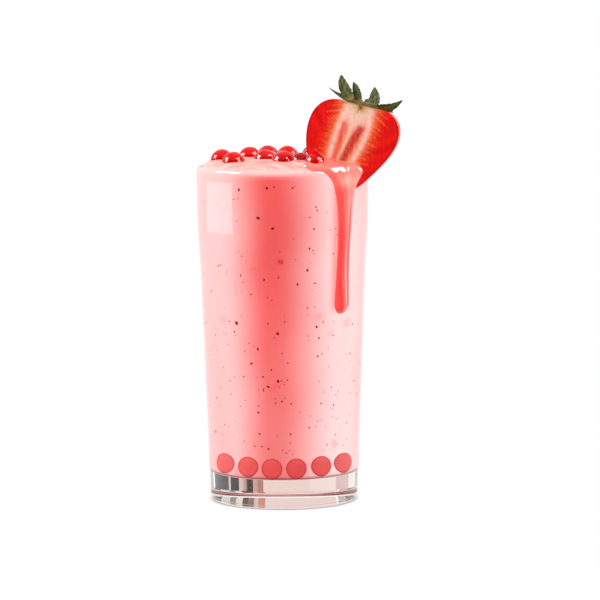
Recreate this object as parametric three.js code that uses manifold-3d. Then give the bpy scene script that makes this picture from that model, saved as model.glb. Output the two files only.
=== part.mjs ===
// A tall glass tumbler filled past its lip with a thick pink strawberry drink. Popping boba float half sunk on top,
// a halved strawberry with its leaves is slit and hung on the rim, and sauce wells up at its foot, spills over the
// lip and runs down the outside in one long drip.
//
// Millimetres, +Z up. The origin is the middle of the tumbler's flat foot. The viewer stands at -Y, so +X is to the
// right. Bearings are in degrees from +X towards the viewer. Neighbouring pieces keep a clear gap of GAP.

import * as THREE from "three";
import { mergeVertices } from "three/addons/utils/BufferGeometryUtils.js";
import Module from "manifold-3d";

const wasm = await Module();
wasm.setup();

const { degToRad, lerp, smoothstep, clamp } = THREE.MathUtils;

const GAP = 0.3;
const SLIVER = 0.02;
const ROUND_SIDES = 50;

// Tumbler: a cone that eases into an upright collar, on a thick solid foot.
const GLASS_HEIGHT = 148.5;
const RIM_RADIUS = 38;
const FOOT_RADIUS = 32.7;
const TAPER = 0.0372;
const COLLAR_FROM = 100;
const COLLAR_TO = 138;
const WALL = 2;
const FLOOR = 13.0;
const FOOT_ROUND = 2.2;
const WELL_ROUND = 3;

// Drink: a flat-topped mound that falls away to the wall just under the lip.
const MOUND_EDGE = GLASS_HEIGHT - 0.9;
const MOUND_RISE = 3.7;
const MOUND_POWER = 14;

// Popping boba on top: middle of each ball in plan, its radius, and how far its middle is above the usual height.
const BOBA_RADIUS = 5;
const BOBA_HEIGHT = 151.1;
const BOBA = [
  { x: -26.8, y: 0.5, radius: 5.0, lift: 0.0 },
  { x: -21.4, y: -15.2, radius: 5.1, lift: -0.2 },
  { x: -14.6, y: 15.6, radius: 4.9, lift: 0.2 },
  { x: -7.6, y: -1.0, radius: 4.9, lift: 0.0 },
  { x: -6.4, y: 23.0, radius: 5.0, lift: 0.1 },
  { x: 2.4, y: 15.8, radius: 5.0, lift: 0.4 },
  { x: 0.4, y: -13.2, radius: 5.1, lift: -0.1 },
  { x: 8.2, y: -4.6, radius: 4.8, lift: -1.1 },
  { x: 14.3, y: -27.3, radius: 4.4, lift: 0.6 },
  { x: 13.6, y: 12.6, radius: 5.0, lift: 0.0 },
  { x: 24.2, y: 10.2, radius: 4.8, lift: -0.3 },
  { x: 13.8, y: 24.4, radius: 5.1, lift: 0.1 },
];

// Halved strawberry, in its own frame: x across the cut face, y back from the face, z up from the leaves' seat.
const BERRY_TOP = new THREE.Vector3(34.7, -26.7, 176.4);
const BERRY_YAW = 12;
const BERRY_ROLL = 13;
const BERRY_LENGTH = 39.4;
const BERRY_SHOULDER = 1.2;
const BERRY_HALF_WIDTH = 20.2;
const BERRY_HALF_DEPTH = 17;
const BERRY_CUT = 2.5;
const BERRY_WIDEST = 0.62;
const BERRY_FULLNESS = 0.47;
const BERRY_OFFSET = -1;
const BERRY_LEAN = -2.3;
const BERRY_LEAN_LOW = 2.4;
const SEAT_DEPTH = 2.4;
const SEAT_RADIUS = 8;
const PIT_DEPTH = 0.4;
const BERRY_ROWS = 22;
const BERRY_COLUMNS = 36;

// Leaves: a short hub with sepals, each from its root to its tip in the berry's frame. A leaf's
// bow is how far its middle stands across and up from the straight line.
const HUB = { x: 0.4, y: 2.2, z: 0.4, across: 6.8, deep: 5.2, high: 1.6 };
const LEAF_THICKNESS = 0.55;
const LEAVES = [
  { root: [-3.8, 2.2, 0.6], tip: [-16.4, 2.8, 4.0], bow: [0, -1.8], width: 3.2, twist: 66, curl: 0.5 },
  { root: [-5.4, 2.4, 1.0], tip: [-12.4, 3.8, 10.6], bow: [-2.6, 0.4], width: 4.9, twist: 6, curl: 0.7 },
  { root: [-2.0, 3.0, 0.8], tip: [-7.0, 5.8, 8.6], bow: [0.6, 0.8], width: 4.2, twist: -12, curl: 0.9 },
  { root: [4.6, 3.0, 0.8], tip: [2.7, 5.4, 8.6], bow: [0.4, 0.2], width: 4.7, twist: 10, curl: 0.7 },
  { root: [5.0, 2.4, 0.4], tip: [16.4, 2.4, 6.2], bow: [0.6, -3.0], width: 4.8, twist: 34, curl: 0.8 },
  { root: [-2.6, 5.0, 0.5], tip: [-9.6, 17.0, -1.4], bow: [0, 1.8], width: 4.8, twist: 80, curl: 0.8 },
  { root: [1.2, 5.6, 0.5], tip: [2.0, 19.4, -1.0], bow: [0, 2.2], width: 5.0, twist: 92, curl: 0.9 },
  { root: [4.4, 5.0, 0.4], tip: [11.4, 16.2, -1.2], bow: [0, 1.8], width: 4.6, twist: 100, curl: 0.8 },
];

// Sauce: from the drip's end up the outside, over the lip and onto the drink. Each station says how far the sauce
// reaches to the left and right of SAUCE_BEARING, along the lip, and how thick it is.
const SAUCE_BEARING = 46.5;
const DRIP_END = 85.5;
const SAUCE_OUTSIDE = [
  { z: DRIP_END, left: 0.3, right: 0.3, thick: 0.5 },
  { z: 86.6, left: 1.9, right: 2.9, thick: 2.2 },
  { z: 88.6, left: 2.8, right: 3.8, thick: 3.0 },
  { z: 91.5, left: 3.2, right: 4.2, thick: 3.3 },
  { z: 95.5, left: 3.0, right: 4.1, thick: 3.0 },
  { z: 101, left: 2.6, right: 3.9, thick: 2.5 },
  { z: 112, left: 2.3, right: 3.8, thick: 2.2 },
  { z: 124, left: 2.4, right: 4.1, thick: 2.3 },
  { z: 133, left: 3.0, right: 4.5, thick: 2.5 },
  { z: 138.5, left: 4.0, right: 5.4, thick: 2.8 },
  { z: 142.5, left: 5.0, right: 6.6, thick: 3.1 },
  { z: 145.8, left: 6.9, right: 8.6, thick: 3.2 },
];
const SAUCE_LIP = { left: 10.4, right: 10.6, thick: 3.1, stations: 3 };
const SAUCE_INSIDE = [
  { inset: 3.4, left: 17.5, right: 10.8, thick: 3.8 },
  { inset: 5.6, left: 18.5, right: 10.8, thick: 3.3 },
  { inset: 8.4, left: 17.0, right: 10.4, thick: 2.8 },
  { inset: 11.2, left: 13.5, right: 9.6, thick: 2.0 },
  { inset: 13.4, left: 8.0, right: 8.6, thick: 0.5 },
];
const SAUCE_COLUMNS = 12;
const SAUCE_FLATNESS = 0.4;
const SAUCE_SINK = 2.6;

// Colours as the eye reads them, for a plain lit view.
const finish = (color, roughness, extra = {}) =>
  new THREE.MeshStandardMaterial({ color, roughness, metalness: 0, ...extra });
const clearGlass = finish("#eef3f2", 0.03, { transparent: true, opacity: 0.35 });
const pinkDrink = finish("#f9a3a1", 0.35);
const redGel = finish("#d3101a", 0.08);
const berryFlesh = finish("#dd2417", 0.3);
const leafGreen = finish("#5b6420", 0.55);
const coralSauce = finish("#f2635b", 0.15);

// A closed geometry as a solid that can be joined and cut.
function solidOf(geometry) {
  const bare = geometry.clone();
  bare.deleteAttribute("normal");
  bare.deleteAttribute("uv");
  const merged = mergeVertices(bare, 1e-4);
  return new wasm.Manifold(
    new wasm.Mesh({
      numProp: 3,
      vertProperties: new Float32Array(merged.attributes.position.array),
      triVerts: new Uint32Array(merged.index.array),
    }),
  );
}

// The largest body of a solid as a geometry. Scraps that a cut leaves loose are dropped, and so are slivers.
function geometryOf(solid) {
  const bodies = solid.simplify(SLIVER).decompose();
  bodies.sort((a, b) => b.volume() - a.volume());
  const mesh = bodies[0].getMesh();
  const geometry = new THREE.BufferGeometry();
  geometry.setAttribute("position", new THREE.BufferAttribute(mesh.vertProperties, mesh.numProp));
  geometry.setIndex(new THREE.BufferAttribute(mesh.triVerts, 1));
  geometry.computeVertexNormals();
  return geometry;
}

// Turns a profile of radius and height round the Z axis.
function turned(profile) {
  return new THREE.LatheGeometry(profile, ROUND_SIDES).rotateX(Math.PI / 2);
}

// Points of an arc in a profile, from one angle to another in degrees.
function arc(radius, height, size, from, to, steps) {
  return Array.from({ length: steps + 1 }, (_, i) => {
    const angle = degToRad(lerp(from, to, i / steps));
    return new THREE.Vector2(radius + size * Math.cos(angle), height + size * Math.sin(angle));
  });
}

function outerRadius(z) {
  return lerp(FOOT_RADIUS + TAPER * z, RIM_RADIUS, smoothstep(z, COLLAR_FROM, COLLAR_TO));
}

// Heights that the wall's profile needs between two levels: the cone is straight, so only the collar has steps.
function wallHeights(from, to) {
  const steps = [COLLAR_FROM, 109, 119, 129, COLLAR_TO].filter((z) => z > from && z < to);
  return [from, ...steps, to];
}

function outerWall(from, to, grow) {
  return wallHeights(from, to).map((z) => new THREE.Vector2(outerRadius(z) + grow, z));
}

function innerWall(from, to, shrink) {
  return wallHeights(from, to)
    .reverse()
    .map((z) => new THREE.Vector2(outerRadius(z) - WALL - shrink, z));
}

const lipRadius = RIM_RADIUS - WALL / 2;
const lipHeight = GLASS_HEIGHT - WALL / 2;
const drinkRadius = RIM_RADIUS - WALL - GAP;

function moundHeight(radius) {
  return MOUND_EDGE + MOUND_RISE * (1 - (Math.min(radius, drinkRadius) / drinkRadius) ** MOUND_POWER);
}

function tumbler() {
  return turned([
    new THREE.Vector2(0, 0),
    ...arc(outerRadius(FOOT_ROUND) - FOOT_ROUND, FOOT_ROUND, FOOT_ROUND, -90, 0, 3),
    ...outerWall(FOOT_ROUND, lipHeight, 0).slice(1),
    ...arc(lipRadius, lipHeight, WALL / 2, 0, 180, 4).slice(1),
    ...innerWall(FLOOR + WELL_ROUND, lipHeight, 0).slice(1),
    ...arc(outerRadius(FLOOR) - WALL - WELL_ROUND, FLOOR + WELL_ROUND, WELL_ROUND, 0, -90, 3).slice(1),
    new THREE.Vector2(0, FLOOR),
  ]);
}

// The mound's profile from the wall to the axis, raised by grow.
function moundProfile(radius, grow) {
  const shares = [0.985, 0.96, 0.93, 0.88, 0.78, 0];
  return shares.map((share) => new THREE.Vector2(radius * share, moundHeight(radius * share) + grow));
}

function drinkBody() {
  const floor = FLOOR + GAP;
  const round = WELL_ROUND - GAP;
  return turned([
    new THREE.Vector2(0, floor),
    ...arc(outerRadius(FLOOR) - WALL - WELL_ROUND, floor + round, round, -90, 0, 3),
    ...innerWall(FLOOR + WELL_ROUND, MOUND_EDGE, GAP).reverse().slice(1),
    ...moundProfile(drinkRadius, 0),
  ]);
}

// The upper wall on its own, grown by the gap: what the strawberry's slit has to clear.
function wallRing() {
  const foot = COLLAR_FROM;
  const profile = [
    ...outerWall(foot, lipHeight, GAP),
    ...arc(lipRadius, lipHeight, WALL / 2 + GAP, 0, 180, 4).slice(1),
    ...innerWall(foot, lipHeight, GAP).slice(1),
  ];
  return turned([...profile, profile[0]]);
}

// The tumbler's outside with its drink, as one solid grown by the gap: what the sauce lies on.
function filledTumbler() {
  const foot = DRIP_END - 15;
  return turned([
    new THREE.Vector2(0, foot),
    ...outerWall(foot, lipHeight, GAP),
    ...arc(lipRadius, lipHeight, WALL / 2 + GAP, 0, 150, 4).slice(1),
    ...moundProfile(RIM_RADIUS - WALL, GAP),
  ]);
}

// The closed solid between two sheets of points. point(row, column, side) gives the outer sheet for side 0 and the
// inner one for side 1, and both are split into triangles alike.
function slab(rows, columns, point) {
  const positions = [];
  const index = [];
  const at = (row, column, side) => side * rows * columns + row * columns + column;
  const quad = (a, b, c, d) => index.push(a, b, c, a, c, d);
  for (const side of [0, 1])
    for (let row = 0; row < rows; row++)
      for (let column = 0; column < columns; column++) positions.push(...point(row, column, side).toArray());
  for (let row = 0; row < rows - 1; row++)
    for (let column = 0; column < columns - 1; column++) {
      quad(at(row, column, 0), at(row, column + 1, 0), at(row + 1, column + 1, 0), at(row + 1, column, 0));
      quad(at(row, column, 1), at(row + 1, column, 1), at(row + 1, column + 1, 1), at(row, column + 1, 1));
    }
  for (let row = 0; row < rows - 1; row++) {
    const last = columns - 1;
    quad(at(row, 0, 0), at(row + 1, 0, 0), at(row + 1, 0, 1), at(row, 0, 1));
    quad(at(row, last, 0), at(row, last, 1), at(row + 1, last, 1), at(row + 1, last, 0));
  }
  for (let column = 0; column < columns - 1; column++) {
    const last = rows - 1;
    quad(at(0, column, 0), at(0, column, 1), at(0, column + 1, 1), at(0, column + 1, 0));
    quad(at(last, column, 0), at(last, column + 1, 0), at(last, column + 1, 1), at(last, column, 1));
  }
  return new THREE.BufferGeometry()
    .setAttribute("position", new THREE.Float32BufferAttribute(positions, 3))
    .setIndex(index);
}

function bobaBall(radius, detail) {
  return new THREE.IcosahedronGeometry(radius, detail);
}

function bobaPlace({ x, y, lift }) {
  return new THREE.Vector3(x, y, BOBA_HEIGHT + lift);
}

// A ball's clearance: a coarse ball that stays outside the fine one by the gap.
function bobaSocket(ball) {
  const roughness = 1.03;
  const place = bobaPlace(ball);
  const shape = bobaBall((ball.radius + GAP) * roughness, 2);
  return solidOf(shape.translate(place.x, place.y, place.z));
}

// Half the strawberry's width at a share of its length from the shoulder.
function berryHalfWidth(share) {
  return BERRY_HALF_WIDTH * Math.sin(Math.PI * share ** BERRY_WIDEST) ** BERRY_FULLNESS;
}

// A point of the whole strawberry's skin, in the berry's frame.
function berryPoint(row, column) {
  const share = (1 - Math.cos((Math.PI * row) / BERRY_ROWS)) / 2;
  const around = (2 * Math.PI * (column % BERRY_COLUMNS)) / BERRY_COLUMNS;
  const halfWidth = row === 0 || row === BERRY_ROWS ? 0 : berryHalfWidth(share);
  const pitted = row > 2 && row < BERRY_ROWS - 1 && (row + 2 * (column % 2)) % 4 === 0;
  const reach = halfWidth - (pitted ? PIT_DEPTH : 0);
  const seat = SEAT_DEPTH * Math.exp(-((halfWidth / SEAT_RADIUS) ** 2)) * (1 - share);
  const lean = BERRY_OFFSET + BERRY_LEAN * Math.sin(Math.PI * share ** BERRY_LEAN_LOW);
  return new THREE.Vector3(
    lean + reach * Math.cos(around),
    BERRY_CUT + reach * Math.sin(around) * (BERRY_HALF_DEPTH / BERRY_HALF_WIDTH),
    BERRY_SHOULDER - BERRY_LENGTH * share - seat,
  );
}

// The strawberry before its slit: the skin, cut flat across. grow swells it evenly for a clearance.
function berryHalf(grow) {
  const positions = [];
  const index = [];
  for (let row = 0; row <= BERRY_ROWS; row++)
    for (let column = 0; column < BERRY_COLUMNS; column++) positions.push(...berryPoint(row, column).toArray());
  const at = (row, column) => row * BERRY_COLUMNS + (column % BERRY_COLUMNS);
  for (let row = 0; row < BERRY_ROWS; row++)
    for (let column = 0; column < BERRY_COLUMNS; column++) {
      const [a, b, c, d] = [at(row, column), at(row + 1, column), at(row + 1, column + 1), at(row, column + 1)];
      if (row < BERRY_ROWS - 1) index.push(a, b, c);
      if (row > 0) index.push(a, c, d);
    }
  const skin = new THREE.BufferGeometry()
    .setAttribute("position", new THREE.Float32BufferAttribute(positions, 3))
    .setIndex(index);
  const middle = new THREE.Vector3(0, BERRY_CUT, BERRY_SHOULDER - BERRY_LENGTH * 0.45);
  const swell = 1 + grow / BERRY_HALF_DEPTH;
  skin.translate(-middle.x, -middle.y, -middle.z).scale(swell, swell, swell).translate(middle.x, middle.y, middle.z);
  const reach = 3 * BERRY_LENGTH;
  const knife = new THREE.BoxGeometry(reach, reach, reach).translate(0, -reach / 2 - grow, 0);
  return solidOf(skin).subtract(solidOf(knife));
}

// One sepal: a pointed, cupped and slightly wavy blade along a bowed midrib.
function leaf({ root, tip, bow, width, twist, curl }) {
  const start = new THREE.Vector3(...root);
  const end = new THREE.Vector3(...tip);
  const middle = start.clone().lerp(end, 0.5).add(new THREE.Vector3(bow[0], 0, bow[1]));
  const midrib = new THREE.QuadraticBezierCurve3(start, middle, end);
  const steps = 6;
  const across = 5;
  const back = new THREE.Vector3(0, 1, 0);
  const blade = (row, column, side) => {
    const share = row / (steps - 1);
    const along = midrib.getTangent(share);
    const sideways = new THREE.Vector3().crossVectors(along, back).normalize();
    sideways.applyAxisAngle(along, degToRad(twist));
    const normal = new THREE.Vector3().crossVectors(along, sideways).normalize();
    const outline = Math.sin(Math.PI * lerp(0.16, 0.985, share) ** 0.8) ** 0.8;
    const offset = (2 * column) / (across - 1) - 1;
    const cup = curl * offset * offset - 0.25 * Math.sin(5 * share) * offset;
    const depth = (side ? 0.5 : -0.5) * LEAF_THICKNESS * (1 - 0.5 * offset * offset) * (1 - 0.4 * share);
    return midrib
      .getPoint(share)
      .addScaledVector(sideways, (offset * outline * width) / 2)
      .addScaledVector(normal, cup * outline + depth);
  };
  return solidOf(slab(steps, across, blade));
}

// The hub that the sepals grow from: a flat dome, cut through with the berry.
function hub() {
  const dome = new THREE.SphereGeometry(1, 16, 7).rotateX(Math.PI / 2);
  dome.scale(HUB.across, HUB.deep, HUB.high).translate(HUB.x, HUB.y, HUB.z);
  const reach = 4 * HUB.across;
  const knife = new THREE.BoxGeometry(reach, reach, reach).translate(0, -reach / 2 + GAP, 0);
  return solidOf(dome).subtract(solidOf(knife));
}

// Where the sauce lies at one station: a point of its base path in radius and height, and the way out from it.
function saucePath() {
  const outside = SAUCE_OUTSIDE.map((s) => ({
    ...s,
    radius: outerRadius(s.z),
    out: 1,
    up: 0,
    sink: SAUCE_SINK,
  }));
  const lip = Array.from({ length: SAUCE_LIP.stations }, (_, i) => {
    const turn = degToRad((90 * (i + 0.5)) / SAUCE_LIP.stations);
    return {
      ...SAUCE_LIP,
      radius: lipRadius + (WALL / 2) * Math.cos(turn),
      z: lipHeight + (WALL / 2) * Math.sin(turn),
      out: Math.cos(turn),
      up: Math.sin(turn),
      sink: WALL / 2,
    };
  });
  const inside = SAUCE_INSIDE.map((s) => {
    const radius = RIM_RADIUS - s.inset;
    return { ...s, radius, z: moundHeight(radius), out: 0, up: 1, sink: SAUCE_SINK };
  });
  return [...outside, ...lip, ...inside];
}

// A point of the lip's line in plan, and its outward normal, at a distance along it from SAUCE_BEARING. Beyond the
// strawberry's face the line leaves the circle and runs along the face.
function sauceLine(radius, distance) {
  const bend = 2.2;
  const onCircle = Math.min(distance, bend);
  const bearing = degToRad(SAUCE_BEARING - (onCircle / RIM_RADIUS) * (180 / Math.PI));
  const outward = new THREE.Vector2(Math.cos(bearing), -Math.sin(bearing));
  const place = outward.clone().multiplyScalar(radius);
  const yaw = degToRad(BERRY_YAW);
  const past = Math.max(distance - bend, 0);
  place.addScaledVector(new THREE.Vector2(Math.cos(yaw), -Math.sin(yaw)), past);
  const facing = new THREE.Vector2(-Math.sin(yaw), -Math.cos(yaw));
  const turn = smoothstep(distance, -2, 7);
  return { place, outward: outward.lerp(facing, turn).normalize() };
}

function sauceSheet() {
  const path = saucePath();
  const point = (row, column, side) => {
    const { radius, z, out, up, left, right, thick, sink } = path[row];
    const share = column / (SAUCE_COLUMNS - 1);
    const across = -Math.cos(Math.PI * share);
    const distance = across < 0 ? across * left : across * right;
    const { place, outward } = sauceLine(radius, distance);
    const rise = side ? -sink : thick * clamp(1 - across * across, 0, 1) ** SAUCE_FLATNESS + 0.05;
    return new THREE.Vector3(
      place.x + outward.x * out * rise,
      place.y + outward.y * out * rise,
      z + up * rise,
    );
  };
  return slab(path.length, SAUCE_COLUMNS, point);
}

const drinkGlass = new THREE.Group();

function place(parent, name, geometry, material) {
  const mesh = new THREE.Mesh(geometry, material);
  mesh.name = name;
  parent.add(mesh);
  return mesh;
}

const garnish = new THREE.Group();
garnish.position.copy(BERRY_TOP);
garnish.rotation.set(0, degToRad(BERRY_ROLL), degToRad(-BERRY_YAW), "ZYX");
drinkGlass.add(garnish);
drinkGlass.updateMatrixWorld(true);
const toWorld = garnish.matrixWorld;
const toGarnish = toWorld.clone().invert();

const sockets = BOBA.map(bobaSocket);
const berryClearance = berryHalf(GAP).transform(toWorld.elements);
const ring = solidOf(wallRing()).transform(toGarnish.elements);

place(drinkGlass, "glass", tumbler(), clearGlass);

const pockets = sockets.reduce((joined, socket) => joined.add(socket), berryClearance);
place(drinkGlass, "drink", geometryOf(solidOf(drinkBody()).subtract(pockets)), pinkDrink);

BOBA.forEach((ball, i) => {
  const name = `boba_${String(i + 1).padStart(2, "0")}`;
  place(drinkGlass, name, bobaBall(ball.radius, 3), redGel).position.copy(bobaPlace(ball));
});

place(garnish, "strawberry_half", geometryOf(berryHalf(0).subtract(ring)), berryFlesh);

const leaves = LEAVES.map(leaf).reduce((joined, next) => joined.add(next), hub());
place(garnish, "strawberry_leaves", geometryOf(leaves.subtract(berryHalf(GAP))), leafGreen);

const sauce = solidOf(sauceSheet()).subtract(solidOf(filledTumbler())).subtract(pockets);
place(drinkGlass, "sauce", geometryOf(sauce), coralSauce);

export default drinkGlass;
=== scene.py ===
"""Finished look of a tall tumbler of strawberry drink with popping boba, a strawberry half and a sauce drip.

The shapes are worked out in millimetres in the model's own frame, with +Z up and the front towards -Y, and
turned into metres when a mesh is made. Bearings are in degrees from +X towards the front.
"""

import math

import bmesh
import bpy
import numpy as np
from mathutils import Matrix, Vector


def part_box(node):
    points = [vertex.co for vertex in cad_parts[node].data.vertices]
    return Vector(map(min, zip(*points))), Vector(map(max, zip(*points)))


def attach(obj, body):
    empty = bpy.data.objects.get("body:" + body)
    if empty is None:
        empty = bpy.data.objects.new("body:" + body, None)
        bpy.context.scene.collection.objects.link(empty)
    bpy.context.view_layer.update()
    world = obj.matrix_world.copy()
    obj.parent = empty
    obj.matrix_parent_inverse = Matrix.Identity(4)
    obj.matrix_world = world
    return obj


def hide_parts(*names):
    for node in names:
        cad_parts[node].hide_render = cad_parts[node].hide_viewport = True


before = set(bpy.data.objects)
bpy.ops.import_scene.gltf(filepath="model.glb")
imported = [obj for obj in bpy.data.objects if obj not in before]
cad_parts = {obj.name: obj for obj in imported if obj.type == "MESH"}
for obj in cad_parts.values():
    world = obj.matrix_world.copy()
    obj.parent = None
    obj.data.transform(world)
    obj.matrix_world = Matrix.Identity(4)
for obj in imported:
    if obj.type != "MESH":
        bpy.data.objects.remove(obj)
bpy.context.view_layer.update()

MM = 0.001
TAU = 2 * math.pi

# How far a piece reaches into the one it touches, so that no air shows between them.
INTO = 0.12


def box_mm(node):
    """Lowest and highest corner of a CAD node, in millimetres."""
    low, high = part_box(node)
    return np.array(low) / MM, np.array(high) / MM


# Tumbler, as the CAD model has it.
GLASS_HEIGHT = box_mm("glass")[1][2]
RIM_RADIUS = 38.0
FOOT_RADIUS = 32.7
TAPER = 0.0372
COLLAR_FROM = 100.0
COLLAR_TO = 138.0
WALL = 2.0
FLOOR = 13.0
FOOT_ROUND = 2.2
WELL_ROUND = 3.0
GLASS_SEGMENTS = 256

# Drink: a flat-topped mound above the lip, and its coral streaks behind the glass, syrup and at the front
# painted shade.
MOUND_EDGE = GLASS_HEIGHT - 0.9
MOUND_RISE = 3.7
MOUND_POWER = 14
DRINK_PALE = (0.90, 0.395, 0.39)
# Painted light: the drink is paler on the side that faces this bearing, towards the front right.
DRINK_LIT_SIDE = (0.94, 0.56, 0.55)
LIT_SIDE_BEARING = 35.0
DRINK_CORAL = (0.74, 0.095, 0.09)
# A paler band at the drink's edge under the lip: a painted highlight of the rounded lip.
DRINK_LIP_HIGHLIGHT = (0.88, 0.48, 0.45)
# Painted light: the drink's underside is paler than the drink.
DRINK_UNDER_LIT = (0.80, 0.60, 0.56)
DRINK_TOP = (0.86, 0.42, 0.37)
# Each streak: bearing of its middle, how far it reaches to its left and right, and its strength. The
# strongest, near the front, is painted shade; the others are syrup.
SYRUP_AND_SHADE_STREAKS = (
    (98.0, 42.0, 52.0, 1.0),
    (8.0, 26.0, 22.0, 0.3),
    (-40.0, 28.0, 40.0, 0.75),
    (-104.0, 40.0, 24.0, 0.5),
    (-150.0, 24.0, 34.0, 0.85),
)
# Smudges of fruit just under the surface: how far across the front, height, radius and strength.
SMUDGES = (
    (-1.0, 109.5, 1.5, 0.75),
    (16.0, 85.0, 2.3, 0.25),
    (28.5, 81.0, 2.6, 0.3),
    (-27.0, 83.0, 3.0, 0.2),
    (-13.5, 106.0, 1.6, 0.2),
    (21.5, 77.5, 2.0, 0.2),
)

BOBA_NODES = sorted(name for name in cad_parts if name.startswith("boba_"))

# Strawberry half, in its own frame: x across the cut face, y back from it, z up from the leaves' seat.
BERRY_TOP = (34.7, -26.7, 176.4)
BERRY_YAW = 12.0
BERRY_ROLL = 13.0
BERRY_LENGTH = 39.4
BERRY_SHOULDER = 1.2
BERRY_HALF_WIDTH = 20.2
BERRY_HALF_DEPTH = 17.0
BERRY_CUT = 2.5
BERRY_WIDEST = 0.62
BERRY_FULLNESS = 0.47
BERRY_OFFSET = -1.0
BERRY_LEAN = -2.3
BERRY_LEAN_LOW = 2.4
SEAT_DEPTH = 2.4
SEAT_RADIUS = 8.0

HUB = {"x": 0.4, "y": 2.2, "z": 0.4, "across": 6.6, "deep": 5.2, "high": 1.3}
LEAF_THICKNESS = 0.5
# Each leaf: root, tip, how far its middle bows across and up, width, twist and curl.
LEAVES = (
    ((-3.8, 2.2, 0.6), (-16.4, 2.8, 4.0), (0.0, -1.8), 3.2, 66, 0.5),
    ((-5.4, 2.4, 1.0), (-12.4, 3.8, 10.6), (-2.6, 0.4), 4.9, 6, 0.7),
    ((-2.0, 3.0, 0.8), (-7.0, 5.8, 8.6), (0.6, 0.8), 4.2, -12, 0.9),
    ((4.6, 3.0, 0.8), (2.7, 5.4, 8.6), (0.4, 0.2), 4.7, 10, 0.7),
    ((5.0, 2.4, 0.4), (16.4, 2.4, 6.2), (0.6, -3.0), 4.8, 34, 0.8),
    ((-2.6, 5.0, 0.5), (-9.6, 17.0, -1.4), (0.0, 1.8), 4.8, 80, 0.8),
    ((1.2, 5.6, 0.5), (2.0, 19.4, -1.0), (0.0, 2.2), 5.0, 92, 0.9),
    ((4.4, 5.0, 0.4), (11.4, 16.2, -1.2), (0.0, 1.8), 4.6, 100, 0.8),
)

# Sauce: stations up the outside, over the lip and onto the drink. Each says how far the sauce reaches to the
# left and right of its bearing along the lip, and how thick it is.
SAUCE_BEARING = 46.5
DRIP_END = 85.5
DRIP_CAP = 4.2
BEND = 2.2
SAUCE_OUTSIDE = (
    (DRIP_END, 3.1, 4.1, 3.2),
    (91.5, 3.2, 4.2, 3.2),
    (95.5, 3.0, 4.1, 2.9),
    (101.0, 2.6, 3.9, 2.5),
    (112.0, 2.3, 3.8, 2.2),
    (124.0, 2.4, 4.1, 2.3),
    (133.0, 3.0, 4.5, 2.5),
    (138.5, 4.0, 5.4, 2.8),
    (142.5, 5.0, 6.6, 3.1),
    (145.8, 6.9, 8.6, 3.2),
)
SAUCE_LIP = (10.4, 9.6, 3.1)
SAUCE_INSIDE = (
    (3.4, 17.5, 10.8, 3.8),
    (5.6, 18.5, 10.8, 3.3),
    (8.4, 17.0, 10.4, 2.8),
    (11.2, 13.5, 9.6, 2.0),
    (13.4, 8.0, 8.6, 0.5),
)
SAUCE_SINK = 2.6

# Camera: worked out from how the rim and the foot look in the photo.
CAMERA_DISTANCE = 1.462
CAMERA_HEIGHT = 0.251
CAMERA_PITCH = 6.33
CAMERA_ROLL = 0.3
FOCAL_PIXELS = 3310.0
FRAME_PIXELS = 600
AXIS_PIXEL = 283.0
SENSOR_MM = 36.0


def smoothstep(value, low, high):
    share = np.clip((np.asarray(value, float) - low) / (high - low), 0, 1)
    return share * share * (3 - 2 * share)


def lerp(a, b, share):
    return a + (b - a) * share


def blend(base, layer, weight):
    """Colours of base with those of layer over them, point by point."""
    return base + (np.asarray(layer) - base) * np.asarray(weight)[:, None]


def bell(distance, width):
    """1 in the middle, falling smoothly to nothing a few widths away."""
    return np.exp(-((distance / width) ** 2))


def all_over(colour, points):
    """The same colour for every point."""
    return np.tile(colour, (len(points), 1))


def linear(red, green, blue):
    """A colour as the eye reads it, 0 to 255, as the linear colour that a material takes."""
    shares = np.array([red, green, blue]) / 255
    return tuple(np.where(shares > 0.04045, ((shares + 0.055) / 1.055) ** 2.4, shares / 12.92))


def waves(value, lengths, seed):
    """A smooth random line: waves of the given lengths, each with its own phase, from about -1 to 1."""
    phases = np.random.default_rng(seed).uniform(0, TAU, len(lengths))
    total = sum(np.sin(TAU * value / length + phase) for length, phase in zip(lengths, phases))
    return total / len(lengths) ** 0.5


# Meshes


def mesh_piece(name, points, faces, material, tint=None):
    """A new object from points in millimetres, with outward faces, shaded smooth up to sharp edges."""
    mesh = bpy.data.meshes.new(name)
    mesh.from_pydata([tuple(p) for p in np.asarray(points, float) * MM], [], [tuple(f) for f in faces])
    if tint is not None:
        layer = mesh.color_attributes.new("tint", "FLOAT_COLOR", "POINT")
        colours = np.ones((len(mesh.vertices), 4))
        colours[:, :3] = np.clip(tint, 0, 1)
        layer.data.foreach_set("color", colours.ravel())
    piece = bpy.data.objects.new(name, mesh)
    bpy.context.scene.collection.objects.link(piece)
    tidy_mesh(piece)
    if material:
        mesh.materials.append(material)
    return piece


def hide_from(piece, *rays):
    """Lets these kinds of ray pass through a piece, so that light reaches what lies under it."""
    for ray in rays:
        setattr(piece, "visible_" + ray, False)


def install(piece, node=None):
    """Fixes a piece to the part, and hides the CAD node that it stands in for, if one is given."""
    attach(piece, "root")
    if node:
        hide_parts(node)


def tidy_mesh(piece, sharp=48):
    mesh = piece.data
    work = bmesh.new()
    work.from_mesh(mesh)
    bmesh.ops.remove_doubles(work, verts=work.verts, dist=1e-7)
    bmesh.ops.recalc_face_normals(work, faces=work.faces)
    work.to_mesh(mesh)
    work.free()
    mesh.shade_smooth()
    mesh.set_sharp_from_angle(angle=math.radians(sharp))


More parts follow.
